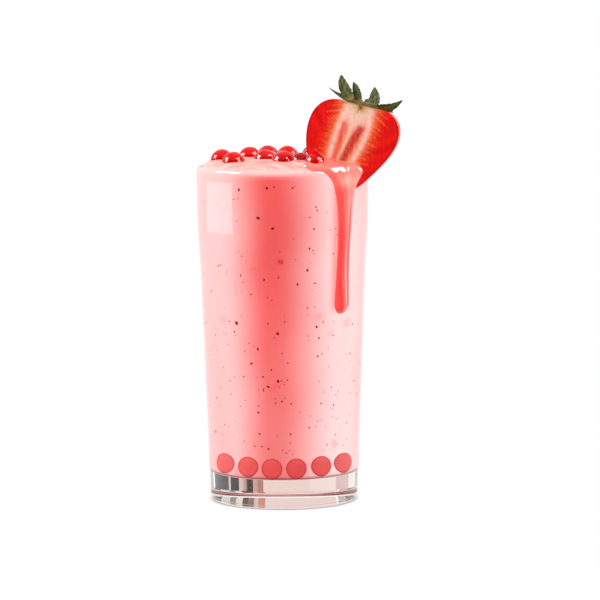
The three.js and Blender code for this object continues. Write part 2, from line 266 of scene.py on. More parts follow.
def cut(piece, cutters):
    """Takes the cutters away from a piece, and deletes them."""
    for cutter in cutters:
        modifier = piece.modifiers.new("cut", "BOOLEAN")
        modifier.operation = "DIFFERENCE"
        modifier.solver = "MANIFOLD"
        modifier.object = cutter
    depsgraph = bpy.context.evaluated_depsgraph_get()
    mesh = bpy.data.meshes.new_from_object(piece.evaluated_get(depsgraph), depsgraph=depsgraph)
    piece.modifiers.clear()
    mesh.materials.clear()
    for material in piece.data.materials:
        mesh.materials.append(material)
    mesh.polygons.foreach_set("material_index", np.zeros(len(mesh.polygons), int))
    piece.data = mesh
    for cutter in cutters:
        bpy.data.objects.remove(cutter)
    tidy_mesh(piece)


def keep_largest(piece):
    """Drops the loose scraps that a cut leaves."""
    work = bmesh.new()
    work.from_mesh(piece.data)
    left = set(work.verts)
    groups = []
    while left:
        stack = [left.pop()]
        group = list(stack)
        while stack:
            for edge in stack.pop().link_edges:
                for vert in edge.verts:
                    if vert in left:
                        left.remove(vert)
                        stack.append(vert)
                        group.append(vert)
        groups.append(group)
    groups.sort(key=len, reverse=True)
    bmesh.ops.delete(work, geom=[v for group in groups[1:] for v in group], context="VERTS")
    work.to_mesh(piece.data)
    work.free()


def paint(piece, colour_of):
    """Writes a colour on each point of a piece, from a function of its points in millimetres."""
    mesh = piece.data
    points = np.empty(3 * len(mesh.vertices))
    mesh.vertices.foreach_get("co", points)
    colours = np.ones((len(mesh.vertices), 4))
    colours[:, :3] = np.clip(colour_of(points.reshape(-1, 3) / MM), 0, 1)
    layer = mesh.color_attributes.get("tint") or mesh.color_attributes.new("tint", "FLOAT_COLOR", "POINT")
    layer.data.foreach_set("color", colours.ravel())


def lathe(profile, segments):
    """Points and faces of a profile of radii and heights turned round Z. A radius of 0 makes one point."""
    points = []
    rings = []
    angles = np.arange(segments) * TAU / segments
    for radius, height in profile:
        first = len(points)
        if radius < 1e-6:
            points.append((0, 0, height))
            rings.append([first])
        else:
            points += [(radius * math.cos(a), radius * math.sin(a), height) for a in angles]
            rings.append(list(range(first, first + segments)))
    faces = []
    for low, high in zip(rings, rings[1:]):
        for k in range(segments):
            n = (k + 1) % segments
            if len(low) == 1:
                faces.append((low[0], high[n], high[k]))
            elif len(high) == 1:
                faces.append((low[k], low[n], high[0]))
            else:
                faces.append((low[k], low[n], high[n], high[k]))
    return np.array(points, float), faces


def arc(radius, height, size, start, end, steps):
    angles = np.radians(np.linspace(start, end, steps + 1))
    return [(radius + size * math.cos(a), height + size * math.sin(a)) for a in angles]


def slab(outer, inner):
    """Points and faces of the closed solid between two sheets, each rows by columns of points."""
    rows, columns = outer.shape[:2]
    points = np.concatenate([outer.reshape(-1, 3), inner.reshape(-1, 3)])
    at = np.arange(2 * rows * columns).reshape(2, rows, columns)
    faces = []
    for side, order in ((0, [0, 1, 2, 3]), (1, [0, 3, 2, 1])):
        grid = at[side]
        corners = np.stack([grid[:-1, :-1], grid[:-1, 1:], grid[1:, 1:], grid[1:, :-1]], -1).reshape(-1, 4)
        faces += corners[:, order].tolist()
    loop = [*at[0, 0, :], *at[0, 1:, -1], *at[0, -1, -2::-1], *at[0, -2:0:-1, 0]]
    other = [*at[1, 0, :], *at[1, 1:, -1], *at[1, -1, -2::-1], *at[1, -2:0:-1, 0]]
    for k in range(len(loop)):
        n = (k + 1) % len(loop)
        faces.append((loop[n], loop[k], other[k], other[n]))
    return points, faces


def grid_faces(rows, columns, closed=False, first=0):
    """Faces between rows of points. A closed grid also joins each row's last point to its first one."""
    faces = []
    for row in range(rows - 1):
        low = first + row * columns
        high = low + columns
        for k in range(columns if closed else columns - 1):
            n = (k + 1) % columns
            faces.append((low + k, low + n, high + n, high + k))
    return faces


def ball_mesh(centre, radii, detail):
    """Points and faces of a ball or an egg of three radii."""
    work = bmesh.new()
    bmesh.ops.create_icosphere(work, subdivisions=detail, radius=1)
    points = np.array([v.co[:] for v in work.verts]) * radii + centre
    faces = [[v.index for v in f.verts] for f in work.faces]
    work.free()
    return points, faces


def joined(parts):
    """Points and faces of several meshes as one."""
    points = []
    faces = []
    first = 0
    for part_points, part_faces in parts:
        points.append(part_points)
        faces += [[first + i for i in face] for face in part_faces]
        first += len(part_points)
    return np.concatenate(points), faces


# Materials


class Shader:
    """A Principled material whose nodes are added one call at a time."""

    def __init__(self, name, **values):
        self.material = bpy.data.materials.new(name)
        self.material.use_nodes = True
        self.tree = self.material.node_tree
        self.surface = self.tree.nodes["Principled BSDF"]
        for socket, value in values.items():
            self.surface.inputs[socket.replace("_", " ")].default_value = value
        self.place = self.node("ShaderNodeTexCoord").outputs["Object"]

    def node(self, kind, **settings):
        made = self.tree.nodes.new(kind)
        for key, value in settings.items():
            setattr(made, key, value)
        return made

    def link(self, source, target):
        self.tree.links.new(source, target)

    def noise(self, scale, detail=3.0, roughness=0.5, stretch=None):
        """Noise in the model's own space, with scale in grains to a metre."""
        made = self.node("ShaderNodeTexNoise")
        made.inputs["Scale"].default_value = scale
        made.inputs["Detail"].default_value = detail
        made.inputs["Roughness"].default_value = roughness
        source = self.place
        if stretch:
            mapping = self.node("ShaderNodeMapping")
            mapping.inputs["Scale"].default_value = stretch
            self.link(source, mapping.inputs["Vector"])
            source = mapping.outputs["Vector"]
        self.link(source, made.inputs["Vector"])
        return made.outputs["Fac"]

    def ramp(self, source, low, high, to_low=0.0, to_high=1.0):
        made = self.node("ShaderNodeMapRange")
        made.inputs["From Min"].default_value = low
        made.inputs["From Max"].default_value = high
        made.inputs["To Min"].default_value = to_low
        made.inputs["To Max"].default_value = to_high
        self.link(source, made.inputs["Value"])
        return made.outputs["Result"]

    def mix(self, kind, weight, first, second):
        """Mixes two colours. A weight or colour is a number, a tuple or another node's output."""
        made = self.node("ShaderNodeMix", data_type="RGBA", blend_type=kind)
        for socket, value in ((0, weight), (6, first), (7, second)):
            if isinstance(value, bpy.types.NodeSocket):
                self.link(value, made.inputs[socket])
            elif socket == 0:
                made.inputs[socket].default_value = value
            else:
                made.inputs[socket].default_value = (*value, 1.0)
        return made.outputs[2]

    def tint(self):
        """The colours painted on the mesh."""
        return self.node("ShaderNodeAttribute", attribute_name="tint").outputs["Color"]

    def mottled(self, colour, scale, strength, detail=3.0, stretch=None):
        """A colour made unevenly lighter and darker by noise."""
        noise = self.noise(scale, detail, stretch=stretch)
        shade = self.ramp(noise, 0.3, 0.7, 1 - strength, 1 + strength)
        made = self.node("ShaderNodeVectorMath", operation="SCALE")
        self.link(colour, made.inputs[0])
        self.link(shade, made.inputs["Scale"])
        return made.outputs["Vector"]

    def colour(self, source):
        self.link(source, self.surface.inputs["Base Color"])

    def bump(self, height, strength, distance):
        made = self.node("ShaderNodeBump")
        made.inputs["Strength"].default_value = strength
        made.inputs["Distance"].default_value = distance
        self.link(height, made.inputs["Height"])
        self.link(made.outputs["Normal"], self.surface.inputs["Normal"])


def clear_glass():
    shader = Shader("tumbler_glass", Transmission_Weight=1.0, Roughness=0.0, IOR=1.5, Base_Color=(1, 1, 1, 1))
    shader.bump(shader.noise(60, 2), 0.02, 0.0002)
    return shader.material


def drink_pink(name, specular):
    """The drink's finish. Behind glass it has no shine of its own, because no air lies between them."""
    soft = {"Subsurface_Weight": 0.15, "Subsurface_Radius": (0.004, 0.0015, 0.0012), "Subsurface_Scale": 1.0}
    shader = Shader(name, Roughness=0.3, IOR=1.36, Specular_IOR_Level=specular, **soft)
    cloudy = shader.mottled(shader.tint(), 45, 0.05, detail=4, stretch=(1, 1, 0.5))
    blotch = shader.ramp(shader.noise(75, 1.0), 0.72, 0.82, 0.0, 0.55)
    shader.colour(shader.mix("MIX", blotch, cloudy, linear(232, 84, 96)))
    shader.bump(shader.noise(700, 3), 0.15, 0.0004)
    return shader.material


def boba_gel():
    tones = {"Base_Color": (1, 0.24, 0.22, 1), "Specular_Tint": (1, 0.65, 0.65, 1)}
    shader = Shader("boba_gel", Transmission_Weight=1.0, Roughness=0.02, IOR=1.36, **tones)
    shader.bump(shader.noise(500, 2), 0.04, 0.0002)
    volume = shader.node("ShaderNodeVolumeAbsorption")
    volume.inputs["Color"].default_value = (0.985, 0.01, 0.02, 1)
    volume.inputs["Density"].default_value = 900
    output = shader.tree.nodes["Material Output"]
    shader.link(volume.outputs["Volume"], output.inputs["Volume"])
    return shader.material


def sunken_boba_gel():
    shader = Shader("sunken_boba_gel", Roughness=0.4, IOR=1.36, Specular_IOR_Level=0.0)
    shader.colour(shader.mottled(shader.tint(), 260, 0.05))
    shader.bump(shader.noise(900, 2), 0.1, 0.0003)
    return shader.material


def speck_skin():
    shader = Shader("speck_skin", Roughness=0.5, Specular_IOR_Level=0.0)
    shader.colour(shader.mottled(shader.tint(), 1500, 0.25))
    shader.bump(shader.noise(3000, 2), 0.3, 0.0001)
    return shader.material


def berry_flesh():
    coat = {"Coat_Weight": 0.3, "Coat_Roughness": 0.12}
    soft = {"Subsurface_Weight": 0.1, "Subsurface_Radius": (0.002, 0.0006, 0.0004), "Subsurface_Scale": 1.0}
    shader = Shader("berry_flesh", Roughness=0.3, IOR=1.4, Specular_IOR_Level=0.1, **coat, **soft)
    shader.colour(shader.mottled(shader.tint(), 900, 0.07, detail=4))
    shader.bump(shader.noise(1300, 4), 0.25, 0.0003)
    return shader.material


def seed_husk():
    shader = Shader("seed_husk", Roughness=0.4)
    shader.colour(shader.mottled(shader.tint(), 2500, 0.2))
    shader.bump(shader.noise(4000, 2), 0.2, 0.0001)
    return shader.material


def leaf_green():
    shader = Shader("leaf_green", Roughness=0.55, Specular_IOR_Level=0.2, Sheen_Weight=0.04)
    shader.colour(shader.mottled(shader.tint(), 700, 0.16, detail=5))
    shader.bump(shader.noise(1600, 4), 0.35, 0.0003)
    return shader.material


def coral_sauce():
    coat = {"Coat_Weight": 0.6, "Coat_Roughness": 0.03}
    soft = {"Subsurface_Weight": 0.3, "Subsurface_Radius": (0.004, 0.001, 0.0008), "Subsurface_Scale": 1.0}
    shader = Shader("coral_sauce", Roughness=0.24, IOR=1.42, **coat, **soft)
    shader.colour(shader.mottled(shader.tint(), 160, 0.05, stretch=(1, 1, 0.3)))
    shader.bump(shader.noise(220, 2), 0.08, 0.0006)
    return shader.material


# Tumbler


def outer_radius(z):
    return lerp(FOOT_RADIUS + TAPER * z, RIM_RADIUS, smoothstep(z, COLLAR_FROM, COLLAR_TO))


LIP_RADIUS = RIM_RADIUS - WALL / 2
LIP_HEIGHT = GLASS_HEIGHT - WALL / 2
DRINK_RADIUS = RIM_RADIUS - WALL


def mound_height(radius):
    return MOUND_EDGE + MOUND_RISE * (1 - np.clip(radius / DRINK_RADIUS, 0, 1) ** MOUND_POWER)


def front_bearing(across, height):
    """Bearing of the point of the wall that is this far across at the front."""
    return 90 - math.degrees(math.asin(across / float(outer_radius(height))))


def wall_profile(low, high, shift, step=2.0):
    """The wall's line from one height to another, moved sideways from its outside."""
    heights = np.linspace(low, high, max(2, int(abs(high - low) / step)))
    return [(float(outer_radius(z)) + shift, float(z)) for z in heights]


def make_tumbler():
    well = float(outer_radius(FLOOR)) - WALL - WELL_ROUND
    profile = [
        (0, 0),
        *arc(float(outer_radius(FOOT_ROUND)) - FOOT_ROUND, FOOT_ROUND, FOOT_ROUND, -90, 0, 10),
        *wall_profile(FOOT_ROUND, LIP_HEIGHT, 0)[1:],
        *arc(LIP_RADIUS, LIP_HEIGHT, WALL / 2, 0, 180, 16)[1:],
        *wall_profile(LIP_HEIGHT, FLOOR + WELL_ROUND, -WALL)[1:],
        *arc(well, FLOOR + WELL_ROUND, WELL_ROUND, 0, -90, 10)[1:],
        (0, FLOOR),
    ]
    piece = mesh_piece("tumbler", *lathe(profile, GLASS_SEGMENTS), clear_glass())
    hide_from(piece, "shadow", "diffuse")
    install(piece, "glass")
    return piece


# Boba on top


def boba_balls():
    """Middle and radius of each ball, from the CAD nodes."""
    balls = []
    for node in BOBA_NODES:
        low, high = box_mm(node)
        balls.append(((low + high) / 2, float(high[2] - low[2]) / 2))
    return balls


BALLS = boba_balls()


def make_boba():
    gel = boba_gel()
    for k, (node, (centre, radius)) in enumerate(zip(BOBA_NODES, BALLS)):
        points, faces = ball_mesh((0, 0, 0), (radius, radius, radius), 5)
        uneven = 1 + 0.012 * waves(points[:, 0] + 1.7 * points[:, 1] - points[:, 2], (9.0, 13.0), k)
        points = points * uneven[:, None] + centre
        piece = mesh_piece(node.replace("boba", "boba_gel"), points, faces, gel)
        hide_from(piece, "shadow", "diffuse")
        install(piece, node)


def ball_cutters():
    """Balls a little smaller than the boba, to cut the sockets that they sit in."""
    parts = [ball_mesh(centre, np.full(3, radius - INTO), 4) for centre, radius in BALLS]
    return mesh_piece("sockets", *joined(parts), None)


# Drink


def surface_relief(points):
    """How far the top of the drink rises and falls: slow ripples, and a meniscus round each ball."""
    x, y = points[:, 0], points[:, 1]
    radius = np.hypot(x, y)
    ripple = 0.16 * waves(x + 0.4 * y, (17.0, 11.0), 3) + 0.12 * waves(radius, (6.5, 9.0), 4)
    rise = ripple * (1 - smoothstep(radius, 27, 34.5))
    for centre, size in BALLS:
        level = mound_height(math.hypot(centre[0], centre[1]))
        line = math.sqrt(max(size**2 - (level - centre[2]) ** 2, 1.0))
        away = np.hypot(x - centre[0], y - centre[1]) - line
        rise += 0.55 * np.exp(-np.clip(away, 0, None) / 0.8)
    return rise


def turned(bearing, middle):
    """How far a bearing is past another, from -180 to 180 degrees."""
    return (bearing - middle + 180) % 360 - 180


def drink_colour(points):
    """Pale pink with upright coral streaks against the glass, syrup and at the front painted shade; painted
    light on the front right and the underside; a painted highlight under the lip; a painted dark line at the
    foot; and uneven salmon on top.
    """
    x, y, z = points.T
    bearing = np.degrees(np.arctan2(-y, x))
    wall = 1 - smoothstep(z, GLASS_HEIGHT - 2.8, GLASS_HEIGHT - 0.8)
    # Coral streaks: syrup, and the strongest one, at the front, painted shade.
    coral_and_shade = np.zeros(len(points))
    for k, (middle, left, right, strength) in enumerate(SYRUP_AND_SHADE_STREAKS):
        past = turned(bearing, middle + 1.2 * waves(z, (90.0, 38.0), 20 + k))
        reach = np.where(past > 0, left, right)
        coral_and_shade = np.maximum(coral_and_shade, strength * (1 - smoothstep(np.abs(past), 2, reach)))
    fade = lerp(0.80, 1.0, smoothstep(z, 15, 120))
    # Painted light: the drink is paler on its front right side, as if more brightly lit there.
    lit_side = 0.5 + 0.5 * np.cos(np.radians(bearing - LIT_SIDE_BEARING))
    pale = blend(all_over(DRINK_PALE, points), DRINK_LIT_SIDE, smoothstep(lit_side, 0.2, 0.95))
    low_left = (1 - smoothstep(z, 20, 70)) * bell(turned(bearing, 136), 22)
    coral_and_shade = np.maximum(coral_and_shade, 0.16 * low_left)
    colours = blend(pale, DRINK_CORAL, coral_and_shade * fade * wall)
    # Partly a syrup stain beside the drip, and partly a painted red glow cast by the drip on the drink.
    near_drip = turned(bearing, SAUCE_BEARING + 3.5) / 3.6
    stain_and_glow = np.exp(-(near_drip**2)) * smoothstep(z, DRIP_END - 1, DRIP_END + 5) * wall
    colours = blend(colours, linear(236, 74, 72), 0.6 * stain_and_glow)
    for across, height, radius, strength in SMUDGES:
        away = turned(bearing, front_bearing(across, height)) * np.pi / 180 * RIM_RADIUS
        spot = np.exp(-((away / radius) ** 2) - ((z - height) / (0.7 * radius)) ** 2)
        colours = blend(colours, linear(200, 34, 52), strength * spot)
    # Painted shade: a dark line low down, where the drink meets the glass floor.
    foot = 1 - smoothstep(z, FLOOR + 0.2, FLOOR + 1.6)
    colours = blend(colours, linear(112, 48, 42), 0.8 * foot)
    # Painted light: the underside is paler, so that the base mirrors it light.
    lit_under = smoothstep(-np.hypot(x, y), -outer_radius(FLOOR) + WALL + 1.2, -outer_radius(FLOOR) + WALL + 2.4)
    colours = blend(colours, DRINK_UNDER_LIT, lit_under * (1 - smoothstep(z, FLOOR + 0.3, FLOOR + 0.8)))
    swirl = 4 * np.sin(x / 7 + 0.8 * np.sin(y / 9)) + 2.5 * np.sin(y / 5 + x / 11)
    cloud = 0.5 + 0.5 * waves(x * 0.45 + y * 0.9 + swirl, (13.0, 7.3, 4.1), 41)
    open_top = smoothstep(-np.hypot(x, y), 0.4 - DRINK_RADIUS, 3.4 - DRINK_RADIUS)
    # Near its edge the top takes the paler band, a painted highlight of the lip.
    top = blend(all_over(DRINK_LIP_HIGHLIGHT, points), DRINK_TOP, open_top)
    top = blend(top, linear(232, 118, 104), 0.6 * smoothstep(cloud, 0.45, 1.0) * open_top)
    top = blend(top, linear(244, 206, 198), 0.55 * (1 - smoothstep(cloud, 0.0, 0.4)) * open_top)
    colours = blend(colours, top, 1 - wall)
    for centre, size in BALLS:
        depth = centre[2] - z
        inside = 1 - smoothstep(np.linalg.norm(points - centre, axis=1), size - 0.02, size + 0.25)
        colours = blend(colours, linear(236, 10, 12), inside * smoothstep(depth, 0.4, 2.0))
    return colours


def make_drink():
    well = float(outer_radius(FLOOR)) - WALL - WELL_ROUND
    bottom = FLOOR - INTO
    top = DRINK_RADIUS + INTO
    outer_rings = 1 - 0.35 * np.linspace(0, 1, 34)[1:] ** 1.6
    radii = top * np.concatenate([outer_rings, np.linspace(0.65, 0, 40)[1:]])
    profile = [
        (0, bottom),
        *arc(well, bottom + WELL_ROUND, WELL_ROUND + INTO, -90, 0, 10),
        *wall_profile(FLOOR + WELL_ROUND, MOUND_EDGE, INTO - WALL, 1.5)[1:],
        *[(float(r), float(mound_height(r))) for r in radii],
    ]
    points, faces = lathe(profile, GLASS_SEGMENTS)
    crown = points[:, 2] > MOUND_EDGE + 0.05
    points[crown, 2] += surface_relief(points[crown])
    piece = mesh_piece("drink_shake", points, faces, drink_pink("drink_pink", 0.0))
    cut(piece, [ball_cutters(), berry_cutter()])
    piece.data.materials.append(drink_pink("drink_pink_top", 0.05))
    for face in piece.data.polygons:
        face.material_index = int(face.center.z > (MOUND_EDGE - 0.5) * MM)
    paint(piece, drink_colour)
    install(piece, "drink")
    return piece


# Boba at the bottom, pressed against the wall

# Each ball in the ring: its bearing, how wide it lies against the wall in degrees each way, and how far it is
# raised.
SUNKEN = (
    (144.0, 12.2, 0.7),
    (119.6, 9.4, 0.45),
    (99.6, 8.4, 0.0),
    (80.3, 8.4, 0.1),
    (59.3, 9.4, 0.5),
    (35.6, 12.2, 0.6),
    *[(-22.5 * k, 8.0, 0.3 * (k % 2)) for k in range(9)],
)
SUNKEN_RADIUS = 5.0
SUNKEN_LIFT = 0.2
SUNKEN_DEPTH = 2.2
SUNKEN_LEAN = 0.13


def make_sunken_boba():
    """A ring of balls on the floor of the drink, each flattened where it presses on the wall."""
    parts = []
    tints = []
    for bearing, wide, lift in SUNKEN:
        height = FLOOR + SUNKEN_RADIUS + SUNKEN_LIFT + lift
        wall = float(outer_radius(height)) - WALL
        angle = math.radians(bearing)
        outward = np.array([math.cos(angle), -math.sin(angle), 0])
        across = np.array([math.sin(angle), math.cos(angle), 0])
        visible = math.sqrt(SUNKEN_RADIUS**2 - SUNKEN_DEPTH**2)
        stretch = wall * math.radians(wide) / visible
        points, faces = ball_mesh((0, 0, 0), np.full(3, SUNKEN_RADIUS), 5)
        share = np.hypot(points[:, 1], points[:, 2]) / visible
        turn = points[:, 1] * stretch / wall
        reach = wall - SUNKEN_DEPTH + points[:, 0]
        limit = outer_radius(points[:, 2] + height) - WALL + INTO + 0.1
        reach = np.minimum(reach, limit)
        placed = np.outer(reach * np.cos(turn), outward) + np.outer(reach * np.sin(turn), across)
        placed[:, 2] = points[:, 2] + height
        if 0 < bearing < 180:
            placed[:, 2] -= SUNKEN_LEAN * (placed[:, 1] + (wall - SUNKEN_DEPTH + 2) * math.sin(angle))
        core = all_over(linear(212, 74, 72), points)
        core = blend(core, linear(216, 84, 82), smoothstep(points[:, 2] / SUNKEN_RADIUS, 0.1, 0.8))
        # Painted shade: each ball is darker round its edge, where it curves away from the wall.
        tints.append(blend(core, linear(186, 58, 60), smoothstep(share, 0.74, 1.0)))
        parts.append((placed, faces))
    piece = mesh_piece("boba_sunken", *joined(parts), sunken_boba_gel(), np.concatenate(tints))
    install(piece)


# Strawberry seeds and skin that float in the drink

SPECK_COUNT = 430
RED_SPECKS = ((-1.0, 109.5, 2.6),)
# The largest specks that show at the front: how far across, height and length.
SPECKS = (
    (-19.5, 140.5, 1.5),
    (-7.0, 141.5, 1.3),
    (4.5, 141.5, 1.1),
    (-11.0, 128.5, 1.7),
    (-4.5, 124.0, 1.5),
    (15.5, 131.5, 1.0),
    (12.0, 115.0, 1.1),
    (14.0, 123.5, 0.9),
    (-29.0, 106.5, 1.1),
    (-19.0, 103.0, 1.0),
    (-8.5, 101.5, 1.1),
    (-2.0, 102.5, 1.0),
    (6.5, 99.5, 1.1),
    (11.0, 105.5, 1.2),
    (-14.5, 95.0, 1.0),
    (-21.0, 82.0, 2.0),
    (-22.0, 78.0, 1.0),
    (15.0, 80.5, 1.5),
    (-2.5, 78.0, 1.4),
    (-11.5, 71.0, 1.3),
    (-14.5, 64.5, 1.3),
    (-2.5, 57.0, 1.4),
    (-7.0, 54.5, 1.6),
    (17.0, 46.5, 1.1),
    (-11.5, 43.0, 1.2),
    (-18.0, 58.5, 1.0),
    (15.5, 67.5, 1.1),
    (30.0, 67.0, 1.2),
    (31.0, 80.0, 1.2),
    (16.0, 75.5, 1.1),
    (3.5, 47.0, 1.0),
    (2.0, 65.0, 0.9),
    (3.0, 33.5, 1.0),
    (-11.0, 33.5, 1.0),
    (-7.0, 27.0, 1.3),
    (19.5, 28.0, 1.0),
)


def make_specks():
    random = np.random.default_rng(7)
    specks = [(front_bearing(across, height), height, length) for across, height, length in SPECKS]
    while len(specks) < SPECK_COUNT:
        height = random.uniform(24, 143)
        bearing = random.uniform(0, 360)
        if random.uniform() > lerp(1.0, 0.5, smoothstep(height, 30, 120)):
            continue
        large = random.uniform() ** 3 * (0.35 if 30 < bearing < 150 else 1.0)
        specks.append((bearing, height, 0.62 + 0.9 * large))
    red_from = len(specks)
    specks += [(front_bearing(across, height), height, length) for across, height, length in RED_SPECKS]
    parts = []
    tints = []
    for k, (bearing, height, length) in enumerate(specks):
        angle = math.radians(bearing)
        reach = float(outer_radius(height)) - WALL + INTO
        outward = np.array([math.cos(angle), -math.sin(angle), 0])
        across = np.array([math.sin(angle), math.cos(angle), 0])
        turn = random.uniform(0, TAU)
        along = across * math.cos(turn) + np.array([0, 0, math.sin(turn)])
        third = np.cross(outward, along)
        points, faces = ball_mesh((0, 0, 0), (1, 1, 1), 2)
        size = (0.12, length / 2, length / 2 * random.uniform(0.5, 0.85))
        points = points @ (np.array([outward, along, third]) * np.array(size)[:, None]) + outward * reach
        points[:, 2] += height
        parts.append((points, faces))
        dark = np.array(linear(122, 8, 18))
        red = np.array(linear(190, 62, 66))
        pale = random.uniform() ** 1.5 * (1 - 0.75 * smoothstep(length, 0.7, 1.1))
        shade = lerp(dark, red, pale) if k < red_from else np.array(linear(208, 52, 62))
        tints.append(all_over(shade, points))
    piece = mesh_piece("drink_specks", *joined(parts), speck_skin(), np.concatenate(tints))
    install(piece)


# Strawberry half


def garnish_matrix():
    yaw = Matrix.Rotation(math.radians(-BERRY_YAW), 3, "Z")
    roll = Matrix.Rotation(math.radians(BERRY_ROLL), 3, "Y")
    return np.array(yaw @ roll)


GARNISH = garnish_matrix()


def to_model(points):
    return np.asarray(points) @ GARNISH.T + BERRY_TOP


def to_berry(points):
    return (np.asarray(points) - BERRY_TOP) @ GARNISH


def berry_half_width(share):
    return BERRY_HALF_WIDTH * np.sin(np.pi * np.clip(share, 0, 1) ** BERRY_WIDEST) ** BERRY_FULLNESS


def berry_lean(share):
    return BERRY_OFFSET + BERRY_LEAN * np.sin(np.pi * np.clip(share, 0, 1) ** BERRY_LEAN_LOW)


def berry_level(share, half_width):
    seat = SEAT_DEPTH * bell(half_width, SEAT_RADIUS) * (1 - share)
    return BERRY_SHOULDER - BERRY_LENGTH * share - seat


def berry_outline(grow=0.0, rows=132, back=170, front=120):
    """Points of the half berry: rows from shoulder to tip, each an arc behind and a chord across the face."""
    rings = []
    depth = BERRY_HALF_DEPTH / BERRY_HALF_WIDTH
    for share in (1 - np.cos(np.linspace(0, np.pi, rows + 1)[1:-1])) / 2:
        half_width = float(berry_half_width(share))
        reach = half_width + grow
        behind = reach * depth
        lean = float(berry_lean(share))
        level = float(berry_level(share, half_width))
        dip = math.asin(min((BERRY_CUT + grow) / behind, 1.0))
        angles = np.linspace(-dip, math.pi + dip, back)
        across = lean + reach * np.cos(angles)
        backward = BERRY_CUT + behind * np.sin(angles)
        ring = np.stack([across, backward, np.full(back, level)], 1)
        chord = ring[-1] + (ring[0] - ring[-1]) * np.linspace(0, 1, front + 2)[1:-1, None]
        rings.append(np.concatenate([ring, chord]))
    return np.array(rings)


def berry_shell(rings):
    """Faces for rings of points closed by one point at each end."""
    rows, columns = rings.shape[:2]
    points = [rings[0].mean(0) - (0, 0, 0.05), *rings.reshape(-1, 3), rings[-1].mean(0) - (0, 0, 0.12)]
    faces = grid_faces(rows, columns, closed=True, first=1)
    last = 1 + (rows - 1) * columns
    for column in range(columns):
        following = (column + 1) % columns
        faces.append((0, 1 + following, 1 + column))
        faces.append((last + column, last + following, last + columns))
    return np.array(points), faces


SEED_COUNT = 190
SEED_LENGTH = 1.25
DIMPLE_DEPTH = 0.42
DIMPLE_RADIUS = 0.85


def seed_places():
    """Where the seeds sit on the skin, in the berry's frame, each with its outward and upward directions."""
    places = []
    golden = math.pi * (3 - math.sqrt(5))
    depth = BERRY_HALF_DEPTH / BERRY_HALF_WIDTH

    def skin(share, angle):
        half_width = float(berry_half_width(share))
        return np.array([
            float(berry_lean(share)) + half_width * math.cos(angle),
            BERRY_CUT + half_width * depth * math.sin(angle),
            float(berry_level(share, half_width)),
        ])

    for k in range(2 * SEED_COUNT):
        share = 0.045 + 0.935 * ((k + 0.5) / (2 * SEED_COUNT)) ** 0.95
        angle = (golden * k) % TAU
        place = skin(share, angle)
        if place[1] < 0.7:
            continue
        up = skin(share - 0.01, angle) - skin(share + 0.01, angle)
        up /= np.linalg.norm(up)
        round_way = skin(share, angle + 0.02) - skin(share, angle - 0.02)
        outward = np.cross(round_way, up)
        outward /= np.linalg.norm(outward)
        places.append((place, outward, up))
    return places


SEEDS = seed_places()


def dimpled(points):
    """Presses a dimple into the skin under each seed, and roughens the cut face a little."""
    skin = points[:, 1] > 0.02
    moved = points.copy()
    for place, outward, _ in SEEDS:
        away = np.linalg.norm(points[skin] - place, axis=1)
        moved[skin] -= np.outer(DIMPLE_DEPTH * bell(away, DIMPLE_RADIUS), outward)
    face = ~skin
    x, z = points[face, 0], points[face, 2]
    grain = waves(x + 0.3 * z, (1.9, 2.7), 51) + waves(z - 0.5 * x, (2.3, 3.4), 52)
    moved[face, 1] += 0.035 * grain + 0.04
    return moved


def bezier(start, bow, end, steps=60):
    t = np.linspace(0, 1, steps)[:, None]
    return (1 - t) ** 2 * np.array(start) + 2 * t * (1 - t) * np.array(bow) + t**2 * np.array(end)


def nearest(points, line):
    """Distance from each point to a line of points, and how far along the line its nearest point is."""
    gaps = np.linalg.norm(points[:, None, :] - line[None, :, :], axis=2)
    best = gaps.argmin(1)
    along = np.concatenate([[0], np.cumsum(np.linalg.norm(np.diff(line, axis=0), axis=1))])
    return gaps[np.arange(len(points)), best], along[best]


# Marks on the cut face, across and up from the leaves' seat: veins, and the two hollows between them.
LEFT_VEIN = bezier((-6.4, -1.6), (-10.2, -18.0), (-9.0, -38.0))
RIGHT_VEIN = bezier((4.6, -1.2), (6.6, -15.0), (-3.4, -34.0))
LEFT_HOLLOW = bezier((-6.2, -9.6), (-6.6, -17.0), (-6.9, -27.0))
RIGHT_HOLLOW = bezier((1.6, -10.4), (-1.0, -16.0), (-3.4, -26.0))
CORE = bezier((-2.0, -5.0), (-2.9, -14.0), (-5.2, -27.0))


def fibres(along, out, seed):
    """How strong the pale fibres are that fan out from a vein, each of its own length."""
    fan = along + out * lerp(-0.55, 0.4, smoothstep(along, 3, 24)) + 0.12 * np.sin(1.7 * out + along)
    strand = np.clip(0.5 + 0.5 * waves(fan, (2.1, 1.35, 3.3), seed), 0, 1)
    length = lerp(3.2, 9.5, np.clip(0.5 + 0.5 * waves(fan, (2.9, 4.3, 1.7), seed + 1), 0, 1) ** 1.6)
    fade = np.clip(1 - out / length, 0, 1)
    return smoothstep(strand, 0.3, 1.0) * fade, strand


